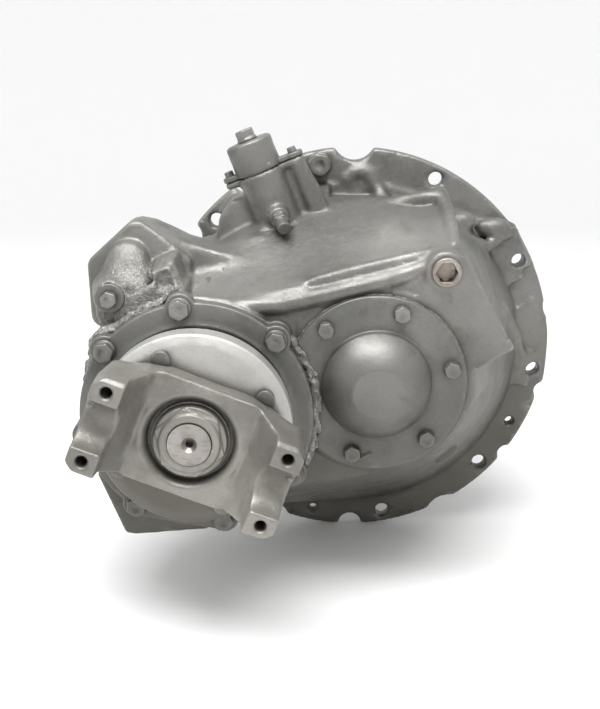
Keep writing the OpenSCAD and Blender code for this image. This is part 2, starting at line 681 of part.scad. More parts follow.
module drop_gear_lower() color([0.55, 0.55, 0.56]) {
    at_pinion(gear_back) difference() {
        linear_extrude(gear_front - gear_back) rotate(input_dir) spur_outline(drop_module, lower_teeth, 0.2);
        translate([0, 0, -1]) cylinder(r = 31 + PRESS_GAP, h = 60);
    }
}

module pinion_bearing_cones() color([0.7, 0.7, 0.7]) {
    at_pinion(rear_seat[1]) mirror([0, 0, 1]) bearing_cone(rear_seat_r, rear_seat_r - 34, 28);
    at_pinion(front_seat[0]) bearing_cone(front_seat_r, front_seat_r - 28, 22);
}
module pinion_bearing_cups() color([0.7, 0.7, 0.7]) {
    at_pinion(rear_seat[1]) mirror([0, 0, 1]) bearing_cup(rear_seat_r, rear_seat_r - 34, 28);
    at_pinion(front_seat[0]) bearing_cup(front_seat_r, front_seat_r - 28, 22);
}
module pinion_nut() color([0.5, 0.5, 0.5]) {
    at_pinion(front_seat[1] + EPS) difference() {
        cylinder(r = 30 / cos(30), h = 18, $fn = 6);
        translate([0, 0, -1]) cylinder(r = 24 + PRESS_GAP, h = 30);
    }
}

module ring_gear() color([0.5, 0.5, 0.5]) {
    in_diff() mirror([0, 0, 1]) difference() {
        union() {
            rotate([0, 0, -90 + 180 / ring_teeth]) bevel_crown(final_cone, ring_delta, 50, ring_teeth,
                0.4 * final_module, 1.3 * final_module, (PI / 4 - 0.18) * final_module - 0.45, 7);
            translate([0, 0, 56]) cylinder(r = 160, h = 26);
        }
        cylinder(r = 96, h = 100);
        translate([0, 0, 64]) around(spaced(12), 132) cylinder(r = 6.1, h = 30);
    }
}

module ring_gear_bolts() color([0.5, 0.5, 0.49]) {
    in_diff() mirror([0, 0, 1]) translate([0, 0, 92]) around(spaced(12), 132) hex_screw(17, 9, 6, 24, 10);
}

// One half of the differential case, with its hub along +z
module case_half(long_hub) {
    difference() {
        union() {
            translate([0, 0, PRESS_GAP]) cylinder(r = 92, h = 30);
            translate([0, 0, 30]) cylinder(r1 = 92, r2 = 66, h = 46);
            translate([0, 0, 70]) cylinder(r = 50, h = 25);
            translate([0, 0, 70]) cylinder(r = 40, h = long_hub - 70);
            children();
        }
        translate([0, 0, -1]) cylinder(r = 76, h = 31);
        translate([0, 0, 29]) cylinder(r1 = 76, r2 = 62, h = 28);
        translate([0, 0, 20]) cylinder(r = 33.5, h = 200);
        for (a = [0, 90]) rotate([0, 0, a]) rotate([0, 90, 0]) translate([0, 0, -100])
            cylinder(r = 13 + PRESS_GAP, h = 200, $fn = 32);
    }
}

module diff_case_flanged() color([0.46, 0.46, 0.45]) {
    in_diff() mirror([0, 0, 1]) difference() {
        case_half(hub_end - 6) translate([0, 0, 82]) cylinder(r = 144, h = 10);
        // clearance holes of the ring gear's screws
        translate([0, 0, 80]) around(spaced(12), 132) cylinder(r = 6.3, h = 20);
    }
}

module diff_case_plain() color([0.46, 0.46, 0.45]) {
    in_diff() {
        case_half(hub_end);
        translate([0, 0, hub_end - EPS]) dogs(40, 33.5, dog_h, 24);
    }
}

module diff_bearing_cones() color([0.7, 0.7, 0.7]) {
    in_diff() for (s = [0, 1]) mirror([0, 0, s]) translate([0, 0, bearing_span[1]]) mirror([0, 0, 1])
        bearing_cone(diff_seat_r, diff_seat_r - 40, bearing_span[1] - bearing_span[0]);
}
module diff_bearing_cups() color([0.7, 0.7, 0.7]) {
    in_diff() for (s = [0, 1]) mirror([0, 0, s]) translate([0, 0, bearing_span[1]]) mirror([0, 0, 1])
        bearing_cup(diff_seat_r, diff_seat_r - 40, bearing_span[1] - bearing_span[0]);
}

module bearing_caps() color([0.44, 0.44, 0.43]) {
    wide = pedestal_span[1] - pedestal_span[0];
    in_diff() for (s = [0, 1]) mirror([0, 0, s]) translate([0, 0, pedestal_span[0]]) difference() {
        union() {
            intersection() {
                cylinder(r = 80, h = wide);
                translate([-100, 0, 0]) cube([200, 100, 100]);
            }
            translate([-84, 0, 0]) cube([168, 26, wide]);
        }
        translate([0, 0, -1]) cylinder(r = diff_seat_r + PRESS_GAP, h = 80);
        for (x = [-69, 69]) {
            translate([x, -1, wide / 2]) rotate([-90, 0, 0]) cylinder(r = 7.4, h = 120);
            translate([x, 26, wide / 2]) rotate([-90, 0, 0]) cylinder(r = 15, h = 120);
        }
    }
}

module bearing_cap_bolts() color([0.5, 0.5, 0.49]) {
    in_diff() for (s = [0, 1]) mirror([0, 0, s]) for (x = [-1, 1])
        translate([x * 69, 26, (pedestal_span[0] + pedestal_span[1]) / 2]) rotate([-90, 0, 0])
            hex_screw(22, 13, 7, 74, 13);
}

module bearing_adjusters() color([0.48, 0.48, 0.47]) {
    in_diff() for (s = [0, 1]) mirror([0, 0, s]) translate([0, 0, bearing_span[1] + 0.1]) difference() {
        tube(diff_seat_r, 42, 11);
        translate([0, 0, 5]) around(spaced(12), diff_seat_r) cylinder(r = 5, h = 20, $fn = 24);
    }
}

module diff_spider() color([0.62, 0.62, 0.6]) {
    in_diff() {
        cylinder(r = 22, h = 22, center = true);
        for (a = [0, 90]) rotate([0, 0, a]) rotate([0, 90, 0]) translate([0, 0, -90])
            cylinder(r = 13, h = 180, $fn = 32);
    }
}

module diff_pinion(i) color([0.6, 0.6, 0.6]) {
    in_diff() rotate([0, 0, 90 * i]) rotate([0, 90, 0]) spider_pinion(wheel_module, 13 + RUN_GAP, 0.65);
}

module side_gear_upper() color([0.58, 0.58, 0.57]) {
    in_diff() difference() {
        union() {
            side_gear(wheel_module, 54, 0.65);
            translate([0, 0, 50]) cylinder(r = 33.1, h = sleeve_top + 2 - 50);
        }
        cylinder(r = 26, h = 300);
    }
}
module side_gear_lower() color([0.58, 0.58, 0.57]) {
    in_diff() mirror([0, 0, 1]) difference() {
        union() {
            side_gear(wheel_module, 54, 0.65);
            translate([0, 0, 50]) cylinder(r = 33.1, h = hub_end - 10 - 50);
        }
        cylinder(r = 26, h = 300);
    }
}

// ---------- wheel differential lock ----------
module lock_sleeve() color([0.56, 0.56, 0.56]) {
    in_diff() {
        difference() {
            translate([0, 0, sleeve_low + dog_h]) cylinder(r = 58, h = sleeve_top - sleeve_low - dog_h);
            translate([0, 0, 100]) cylinder(r = 33.4, h = 100);
            translate([0, 0, groove_low]) tube(70, 48, groove_h);
        }
        translate([0, 0, sleeve_low]) rotate([0, 0, 7.5]) dogs(40, 33.6, dog_h + EPS, 24);
    }
}

module lock_fork() color([0.5, 0.5, 0.48]) {
    reach = [lock_rod_at[0], -diff_back - lock_rod_at[1]];
    in_diff() translate([0, 0, groove_low + 1.5]) difference() {
        union() {
            intersection() {
                tube(66, 49, 8);
                translate([-80, -80, -1]) cube([160, 84, 20]);
            }
            difference() {
                rotate([0, 0, atan2(reach[1], reach[0])]) translate([45, -10, 0])
                    cube([norm(reach) - 45, 20, 8]);
                translate([0, 0, -1]) cylinder(r = 52, h = 20);
            }
            translate([reach[0], reach[1], -4]) cylinder(r = 15, h = 18);
        }
        translate([reach[0], reach[1], -10]) cylinder(r = 9 + PRESS_GAP, h = 60);
    }
}

module lock_piston_rod() color([0.62, 0.62, 0.6]) {
    along_lock_rod(150) cylinder(r = 9, h = 84);
    along_lock_rod(230) cylinder(r = 19 - RUN_GAP, h = 12);
}

module lock_return_spring() color([0.35, 0.35, 0.36]) {
    // separate turns, each a ring
    for (i = [0 : 3]) along_lock_rod(202.8 + i * 4.6) rotate_extrude() translate([14.5, 0])
        circle(r = 1.6, $fn = 16);
}

module lock_cylinder() color([0.6, 0.6, 0.6]) {
    along_lock_rod(196) difference() {
        cylinder(r = 23, h = 48);
        translate([0, 0, 5]) cylinder(r = 19, h = 60);
        translate([0, 0, -1]) cylinder(r = 9 + RUN_GAP, h = 60);
    }
}

module lock_cylinder_cap() color([0.45, 0.46, 0.45]) {
    along_lock_rod(244) difference() {
        union() {
            cylinder(r = 27, h = 34);
            translate([0, 0, 34 - EPS]) cylinder(r1 = 27, r2 = 24, h = 2.5);
            linear_extrude(6) lock_plate();
        }
        translate([0, 0, -1]) cylinder(r = 17, h = 21);
        translate([0, 0, 15]) cylinder(r = 6 + PRESS_GAP, h = 60);
        for (x = [-34, 43]) translate([x, 0, -1]) cylinder(r = 3.4, h = 60, $fn = 24);
    }
}

module lock_cylinder_bolts() color([0.5, 0.5, 0.49]) {
    for (x = [-34, 43]) along_lock_rod(250) translate([x, 0, 0]) hex_screw(10, 6, 3, 16, 6);
}

module lock_stop_screw() color([0.58, 0.56, 0.54]) {
    along_lock_rod(280.5) hex_screw(19, 13, 6, 14, 12);
}

module lock_switch() color([0.6, 0.6, 0.58]) {
    along_lock_rod(lock_switch_at) rotate(lock_switch_way) translate([0, 0, lock_switch_seat]) {
        cylinder(r = 11, h = 5);
        cylinder(r = 9 / cos(30), h = 13, $fn = 6);
        cylinder(r = 7.5, h = 27);
    }
}

// ---------- inter-axle lock ----------
module interaxle_lock_cap() color([0.5, 0.5, 0.48]) {
    forward(fork_rod_at[0], fork_rod_at[1], 204) difference() {
        union() {
            cylinder(r = 16, h = 4);
            translate([0, 0, -8]) cylinder(r = 14 - PRESS_GAP, h = 9);
        }
        translate([0, 0, -9]) cylinder(r = 5 + PRESS_GAP, h = 20);
    }
}

module interaxle_lock_port() color([0.6, 0.6, 0.58]) {
    forward(fork_rod_at[0], fork_rod_at[1], 208) hex_screw(16, 10, 5, 11.5, 8.6);
}

module interaxle_fork() color([0.5, 0.5, 0.48]) {
    at = fork_rod_at - [input_x, input_z];
    at_input(0) rotate([0, 0, atan2(at[1], at[0])]) {
        translate([0, 0, 198]) difference() {
            tube(66, 49, 6);
            translate([-80, -80, -1]) cube([76, 160, 20]);
        }
        translate([60, -8, 198]) cube([58, 16, 6]);
        translate([108, -8, 182]) cube([10, 16, 22]);
        translate([108, -8, 182]) cube([norm(at) - 110, 16, 6]);
    }
    forward(fork_rod_at[0], fork_rod_at[1], 146) cylinder(r = 8, h = 48);
    forward(fork_rod_at[0], fork_rod_at[1], 181) cylinder(r = 12, h = 11);
}

module interaxle_sleeve() color([0.56, 0.56, 0.56]) {
    at_input(gear_front + lock_travel + 0.5) {
        difference() {
            translate([0, 0, dog_h]) cylinder(r = 58, h = 22);
            translate([0, 0, -10]) cylinder(r = 33 + RUN_GAP, h = 100);
            translate([0, 0, 13]) tube(70, 48, 9);
        }
        dogs(54, 43, dog_h + EPS, 24);
    }
}

carrier_housing();
pinion_cover();
cover_gaskets();
pinion_cover_bolts();
input_cover();
input_cover_bolts();
input_oil_seal();
fill_plug();
flange_bolt();
interaxle_lock_cap();
interaxle_lock_port();
input_bearing_cup();
output_bearing_cup();
pinion_bearing_cups();
diff_bearing_cups();
bearing_caps();
bearing_cap_bolts();
bearing_adjusters();
lock_cylinder();
lock_cylinder_cap();
lock_cylinder_bolts();
lock_stop_screw();
lock_switch();
lock_return_spring();
drop_gear_upper();
input_yoke();
yoke_nut();
yoke_washer();
dust_deflector();
deflector_bolts();
input_shaft();
input_bearing_cone();
interaxle_pinion(0);  // interaxle_pinion_1
interaxle_pinion(1);  // interaxle_pinion_2
interaxle_pinion(2);  // interaxle_pinion_3
interaxle_pinion(3);  // interaxle_pinion_4
rear_side_gear();
output_shaft();
output_bearing_cone();
drive_pinion();
drop_gear_lower();
pinion_bearing_cones();
pinion_nut();
ring_gear();
diff_case_flanged();
diff_case_plain();
ring_gear_bolts();
diff_bearing_cones();
diff_spider();
side_gear_upper();
side_gear_lower();
diff_pinion(0);  // diff_pinion_1
diff_pinion(1);  // diff_pinion_2
diff_pinion(2);  // diff_pinion_3
diff_pinion(3);  // diff_pinion_4
lock_piston_rod();
lock_fork();
lock_sleeve();
interaxle_fork();
interaxle_sleeve();
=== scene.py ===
"""Looks of the drive-axle carrier: cast housing, covers, yoke and their finishes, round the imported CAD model.

Rounded castings are made as signed distance fields: a CAD node is turned into distances on a grid, beads,
ribs, pads and hollows are blended into it, and the surface is drawn again. Shapes are in millimetres as
(x, forward, z), where forward is -Y.
"""
import json
import math

import bpy
import numpy as np
import openvdb as vdb
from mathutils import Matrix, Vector


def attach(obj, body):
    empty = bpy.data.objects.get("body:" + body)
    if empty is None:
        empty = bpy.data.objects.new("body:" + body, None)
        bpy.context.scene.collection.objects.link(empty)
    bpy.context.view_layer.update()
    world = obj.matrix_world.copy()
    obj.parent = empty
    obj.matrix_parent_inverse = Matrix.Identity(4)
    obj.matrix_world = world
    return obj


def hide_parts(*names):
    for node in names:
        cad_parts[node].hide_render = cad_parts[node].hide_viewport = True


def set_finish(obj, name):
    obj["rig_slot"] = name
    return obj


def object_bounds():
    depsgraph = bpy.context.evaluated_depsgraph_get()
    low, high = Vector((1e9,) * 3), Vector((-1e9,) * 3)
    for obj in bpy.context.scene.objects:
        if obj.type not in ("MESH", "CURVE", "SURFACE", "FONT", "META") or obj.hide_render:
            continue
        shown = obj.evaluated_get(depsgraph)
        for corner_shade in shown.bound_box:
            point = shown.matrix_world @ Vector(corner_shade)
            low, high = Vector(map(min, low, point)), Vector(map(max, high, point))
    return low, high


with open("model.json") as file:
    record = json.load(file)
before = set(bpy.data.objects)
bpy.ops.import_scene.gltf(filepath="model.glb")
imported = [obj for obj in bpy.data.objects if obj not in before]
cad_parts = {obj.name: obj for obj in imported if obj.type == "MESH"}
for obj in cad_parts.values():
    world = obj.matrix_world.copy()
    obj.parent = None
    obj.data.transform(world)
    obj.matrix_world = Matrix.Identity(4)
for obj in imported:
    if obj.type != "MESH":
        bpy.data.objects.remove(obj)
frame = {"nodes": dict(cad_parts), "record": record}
cad_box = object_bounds()
nodes = frame["nodes"]
scene = bpy.context.scene

# millimetres, as in the CAD model
INPUT_X, INPUT_Z = -175.49, -19.18      # input shaft's axis
PINION_X, PINION_Z = 17.0, 12.0         # drive pinion's axis
PLUG_X, PLUG_Z = 88, 134                # filler plug
FLANGE_HOLES_R = 229
FIRST_FLANGE_HOLE = 28.6                # degrees, and then every 36
TILT = math.radians(21.5)               # lean of the wheel lock's tower
ROD_X, ROD_F = -42.5, 75                # wheel lock's rod: x along the lean, and forward
YOKE_TURN = math.radians(-21.5)
PAD_F = 367                             # faces of the yoke's pads
STRAP_X, STRAP_Z, STRAP_R = 91.5, 37, 5.5
SADDLE_R = 24.6
# degrees
INPUT_BOLTS = (45, 97, 142, 190, 236, 283, 328)
PINION_BOLTS = (12, 72, 132, 252, 312)
PALE = 0.92                             # floor's colour and surroundings' strength


# ---------- distance fields ----------
REACH = 8       # cells for which a field knows distances, inside and outside


def meet(a, b, soft):
    """The smaller of two distances, rounded where they are alike."""
    h = np.clip(soft - np.abs(a - b), 0, None)
    return np.minimum(a, b) - h * h * (0.25 / soft)


def mesh_arrays(mesh):
    """A mesh's points and its triangles' corners."""
    mesh.calc_loop_triangles()
    co = np.empty(len(mesh.vertices) * 3, np.float32)
    mesh.vertices.foreach_get("co", co)
    tri = np.empty(len(mesh.loop_triangles) * 3, np.int32)
    mesh.loop_triangles.foreach_get("vertices", tri)
    return co.reshape(-1, 3), tri.reshape(-1, 3)


class Field:
    """Signed distances in millimetres to the surface of some CAD nodes, on a grid."""

    def __init__(self, names, cell):
        points, faces, first = [], [], 0
        for name in names:
            co, tri = mesh_arrays(nodes[name].data)
            points.append(co)
            faces.append(tri + first)
            first += len(co)
        points, faces = np.concatenate(points), np.concatenate(faces)
        self.cell = cell
        self.map = vdb.createLinearTransform(voxelSize=cell / 1000)
        grid = vdb.FloatGrid.createLevelSetFromPolygons(
            points, triangles=faces.astype(np.uint32), transform=self.map, halfWidth=REACH)
        self.lo = np.floor(points.min(0) * 1000 / cell).astype(int) - REACH
        hi = np.ceil(points.max(0) * 1000 / cell).astype(int) + REACH
        self.d = np.full(hi - self.lo + 1, REACH * cell / 1000, np.float32)
        grid.copyToArray(self.d, ijk=tuple(int(v) for v in self.lo))
        self.d *= 1000

    def window(self, lo, hi, pad):
        """The cells of a box with some millimetres round it, and their x, forward and z."""
        low = [lo[0], -hi[1], lo[2]]
        high = [hi[0], -lo[1], hi[2]]
        cut, axes = [], []
        for k in range(3):
            a = max(int((low[k] - pad) / self.cell) - self.lo[k] - 1, 0)
            b = min(int((high[k] + pad) / self.cell) - self.lo[k] + 2, self.d.shape[k])
            cut.append(slice(a, max(b, a)))
            axes.append((np.arange(a, max(b, a)) + self.lo[k]) * np.float32(self.cell))
        x = axes[0][:, None, None]
        f = -axes[1][None, :, None]
        z = axes[2][None, None, :]
        return tuple(cut), x, f, z

    def add(self, shape, soft=4.0):
        lo, hi, distance = shape
        cut, x, f, z = self.window(lo, hi, soft + 2)
        self.d[cut] = meet(self.d[cut], distance(x, f, z).astype(np.float32), soft)

    def take(self, shape, soft=4.0):
        lo, hi, distance = shape
        cut, x, f, z = self.window(lo, hi, soft + 2)
        self.d[cut] = -meet(-self.d[cut], distance(x, f, z).astype(np.float32), soft)

    def smooth(self, passes):
        for _ in range(passes):
            for axis in range(3):
                d = self.d
                n = d.shape[axis]
                a = d.take(np.r_[0, 0:n - 1], axis)
                b = d.take(np.r_[1:n, n - 1], axis)
                self.d = (a + 2 * d + b) * np.float32(0.25)

    def roughen(self, lo, hi, amount, grain, seed):
        """Lumps of random height in a box, grain is their size in cells. They fade out at the box's edge."""
        cut, x, f, z = self.window(lo, hi, 0)
        shape = self.d[cut].shape
        noise = lumps(shape, grain, seed)
        fade = np.ones(shape, np.float32)
        for v, a, b in ((x, lo[0], hi[0]), (f, lo[1], hi[1]), (z, lo[2], hi[2])):
            fade = fade * np.clip(np.minimum(v - a, b - v) / 8.0, 0, 1)
        self.d[cut] -= noise * fade * np.float32(amount)

    def geometry(self, adaptivity):
        """Points in metres and faces of the field's surface."""
        grid = vdb.FloatGrid()
        grid.transform = self.map
        grid.copyFromArray(np.ascontiguousarray(self.d / 1000), ijk=tuple(int(v) for v in self.lo))
        points, tris, quads = grid.convertToPolygons(isovalue=0, adaptivity=adaptivity)
        return points.astype(float), [tuple(q) for q in quads.tolist()] + [tuple(t) for t in tris.tolist()]


def blank(lo, hi, cell):
    """An empty field over a box."""
    field = Field.__new__(Field)
    field.cell = cell
    field.map = vdb.createLinearTransform(voxelSize=cell / 1000)
    field.lo = np.floor(np.array([lo[0], -hi[1], lo[2]]) / cell).astype(int) - 3
    high = np.ceil(np.array([hi[0], -lo[1], hi[2]]) / cell).astype(int) + 3
    field.d = np.full(high - field.lo + 1, REACH * cell, np.float32)
    return field


def lumps(shape, grain, seed):
    """Smooth random values from -1 to 1, alike over about grain cells."""
    rng = np.random.default_rng(seed)
    coarse = rng.random([s // grain + 3 for s in shape]).astype(np.float32) * 2 - 1
    for axis, size in enumerate(shape):
        at = np.arange(size) / grain
        i = at.astype(int)
        t = (at - i).astype(np.float32)
        t = t * t * (3 - 2 * t)
        t = t.reshape([-1 if k == axis else 1 for k in range(3)])
        coarse = coarse.take(i, axis) * (1 - t) + coarse.take(i + 1, axis) * t
    return coarse


def inside_out(mesh):
    """Whether a mesh's faces point inwards, from the sign of its volume."""
    co, tri = mesh_arrays(mesh)
    p = co[tri]
    return np.einsum("ij,ij->i", p[:, 0], np.cross(p[:, 1], p[:, 2])).sum() < 0


# ---------- shapes: (lowest corner, highest corner, distance of a point) ----------
def chain(points, radii):
    """A rounded bead through some points, with a radius at each."""
    pts = np.array(points, float)
    rad = np.full(len(pts), radii, float) if np.isscalar(radii) else np.array(radii, float)

    def distance(x, f, z):
        best = None
        for a, b, ra, rb in zip(pts[:-1], pts[1:], rad[:-1], rad[1:]):
            way = b - a
            t = ((x - a[0]) * way[0] + (f - a[1]) * way[1] + (z - a[2]) * way[2]) / (way @ way)
            t = np.clip(t, 0, 1)
            d = np.sqrt((x - a[0] - t * way[0]) ** 2 + (f - a[1] - t * way[1]) ** 2
                        + (z - a[2] - t * way[2]) ** 2) - (ra + t * (rb - ra))
            best = d if best is None else np.minimum(best, d)
        return best
    return pts.min(0) - rad.max(), pts.max(0) + rad.max(), distance


def outline_distance(outline, x, z):
    """Signed distance in the x-z plane to a closed polygon."""
    best, inside = None, None
    for (ax, az), (bx, bz) in zip(outline, outline[1:] + outline[:1]):
        ex, ez = bx - ax, bz - az
        t = np.clip(((x - ax) * ex + (z - az) * ez) / (ex * ex + ez * ez), 0, 1)
        d = (x - ax - t * ex) ** 2 + (z - az - t * ez) ** 2
        best = d if best is None else np.minimum(best, d)
        above = (az > z) != (bz > z)
        cross = above & (x < (ex * (z - az) / (ez if ez else 1e-9) + ax))
        inside = cross if inside is None else inside ^ cross
    return np.where(inside, -1, 1) * np.sqrt(best)


def slab(outline, f0, f1, edge=3.0, spread=0.0):
    """A plate with rounded edges. spread widens it towards the back, per millimetre."""
    xs, zs = [p[0] for p in outline], [p[1] for p in outline]
    more = abs(spread) * (f1 - f0)

    def distance(x, f, z):
        d = outline_distance(outline, x, z) - spread * np.clip(f1 - f, 0, f1 - f0) + edge
        e = np.abs(f - (f0 + f1) / 2) - (f1 - f0) / 2 + edge
        return np.minimum(np.maximum(d, e), 0) + np.hypot(np.maximum(d, 0), np.maximum(e, 0)) - edge
    return [min(xs) - more, f0, min(zs) - more], [max(xs) + more, f1, max(zs) + more], distance


def post(x0, z0, f0, f1, r0, r1=None, edge=2.0):
    """A round post along the shaft direction, r0 wide at f0 and r1 at f1."""
    r1 = r0 if r1 is None else r1
    wide = max(r0, r1)

    def distance(x, f, z):
        t = np.clip((f - f0) / (f1 - f0), 0, 1)
        d = np.hypot(x - x0, z - z0) - (r0 + t * (r1 - r0)) + edge
        e = np.abs(f - (f0 + f1) / 2) - (f1 - f0) / 2 + edge
        return np.minimum(np.maximum(d, e), 0) + np.hypot(np.maximum(d, 0), np.maximum(e, 0)) - edge
    return [x0 - wide, f0, z0 - wide], [x0 + wide, f1, z0 + wide], distance


def tube(x0, z0, f0, f1, r, bore, edge=2.0):
    """A round post with a bore through it."""
    lo, hi, outer = post(x0, z0, f0, f1, r, edge=edge)

    def distance(x, f, z):
        return np.maximum(outer(x, f, z), bore - np.hypot(x - x0, z - z0))
    return lo, hi, distance


def ring(x0, f0, z0, r, thick):
    """A round ring about a line along the shaft direction."""
    def distance(x, f, z):
        return np.hypot(np.hypot(x - x0, z - z0) - r, f - f0) - thick
    wide = r + thick
    return [x0 - wide, f0 - thick, z0 - wide], [x0 + wide, f0 + thick, z0 + wide], distance


def egg(centre, radii):
    """An ellipsoid."""
    c, r = np.array(centre, float), np.array(radii, float)

    def distance(x, f, z):
        q = np.sqrt(((x - c[0]) / r[0]) ** 2 + ((f - c[1]) / r[1]) ** 2 + ((z - c[2]) / r[2]) ** 2)
        return (q - 1) * r.min()
    return c - r, c + r, distance


def lathe(x0, z0, profile):
    """A turned solid about a line along the shaft direction. profile: (radius, forward)."""
    rs, fs = [p[0] for p in profile], [p[1] for p in profile]

    def distance(x, f, z):
        return outline_distance(profile, np.hypot(x - x0, z - z0), f)
    wide = max(rs)
    return [x0 - wide, min(fs), z0 - wide], [x0 + wide, max(fs), z0 + wide], distance


def cross_bar(r, x0, x1, f):
    """A round bar along x, at height f."""
    def distance(x, f_, z):
        d = np.hypot(f_ - f, z) - r
        e = np.abs(x - (x0 + x1) / 2) - (x1 - x0) / 2
        return np.maximum(d, e)
    return [x0, f - r, -r], [x1, f + r, r], distance


def hexagon(flats, f0, f1, edge=0.6):
    """A hexagonal head round the origin, with its top corners turned off."""
    def distance(x, f, z):
        d = None
        for a in (0, 60, 120):
            a = math.radians(a)
            e = np.abs(x * math.cos(a) + z * math.sin(a)) - flats / 2
            d = e if d is None else np.maximum(d, e)
        g = np.abs(f - (f0 + f1) / 2) - (f1 - f0) / 2
        d = -meet(-d, -g, edge)
        chamfer = (np.hypot(x, z) - flats * 0.5) * 0.5 + (f - f1) * 0.866
        return -meet(-d, -chamfer, edge)
    wide = flats * 0.6
    return [-wide, f0, -wide], [wide, f1, wide], distance


def planes(lo, hi, faces):
    """The space behind every one of some planes: (point, outward normal)."""
    def distance(x, f, z):
        best = None
        for p, n in faces:
            n = np.array(n, float) / np.linalg.norm(n)
            d = (x - p[0]) * n[0] + (f - p[1]) * n[1] + (z - p[2]) * n[2]
            best = d if best is None else -meet(-best, -d, 6.0)
        return best
    return lo, hi, distance


def polar(x0, z0, r, angle):
    """The point at a radius and an angle in degrees from a centre."""
    angle = math.radians(angle)
    return x0 + r * math.cos(angle), z0 + r * math.sin(angle)


def turned_point(x, z, x0, z0, angle):
    """A point given about a centre, turned there."""
    c, s = math.cos(angle), math.sin(angle)
    return x0 + x * c - z * s, z0 + x * s + z * c


def tower_point(x, z):
    """A point of the tower, from its own x and height."""
    return turned_point(x, z, PINION_X, PINION_Z, TILT)


def turned(shape, x0, z0, angle):
    """A shape given in x and z about a centre, turned there."""
    lo, hi, inner = shape
    c, s = math.cos(angle), math.sin(angle)
    corners = [turned_point(x, z, x0, z0, angle) for x in (lo[0], hi[0]) for z in (lo[2], hi[2])]

    def distance(x, f, z):
        u, w = x - x0, z - z0
        return inner(u * c + w * s, f, w * c - u * s)
    xs, zs = [p[0] for p in corners], [p[1] for p in corners]
    return [min(xs), lo[1], min(zs)], [max(xs), hi[1], max(zs)], distance


def tilted(shape):
    """A shape given along the tower, about the pinion's axis."""
    return turned(shape, PINION_X, PINION_Z, TILT)


def yoke_frame(shape):
    """A shape given in the yoke's own x and z, about its shaft."""
    return turned(shape, INPUT_X, INPUT_Z, YOKE_TURN)


# ---------- pieces ----------
def finish_piece(name, geometry, node, body, slot):
    """An object from a field's points and faces, in the place of a CAD node."""
    points, faces = geometry
    mesh = bpy.data.meshes.new(name)
    mesh.from_pydata(np.asarray(points, float).tolist(), [], faces)
    mesh.validate()
    if inside_out(mesh):
        mesh.flip_normals()
    mesh.shade_smooth()
    ob = bpy.data.objects.new(name, mesh)
    scene.collection.objects.link(ob)
    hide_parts(node)
    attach(ob, body)
    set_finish(ob, slot)


def rounded(name, node, body, slot, cell, passes=1, shapes=(), cuts=()):
    """A CAD node with its edges rounded off, and some shapes added or cut."""
    field = Field([node], cell)
    for shape, soft in shapes:
        field.add(shape, soft)
    field.smooth(passes)
    for shape, soft in cuts:
        field.take(shape, soft)
    finish_piece(name, field.geometry(0.05), node, body, slot)


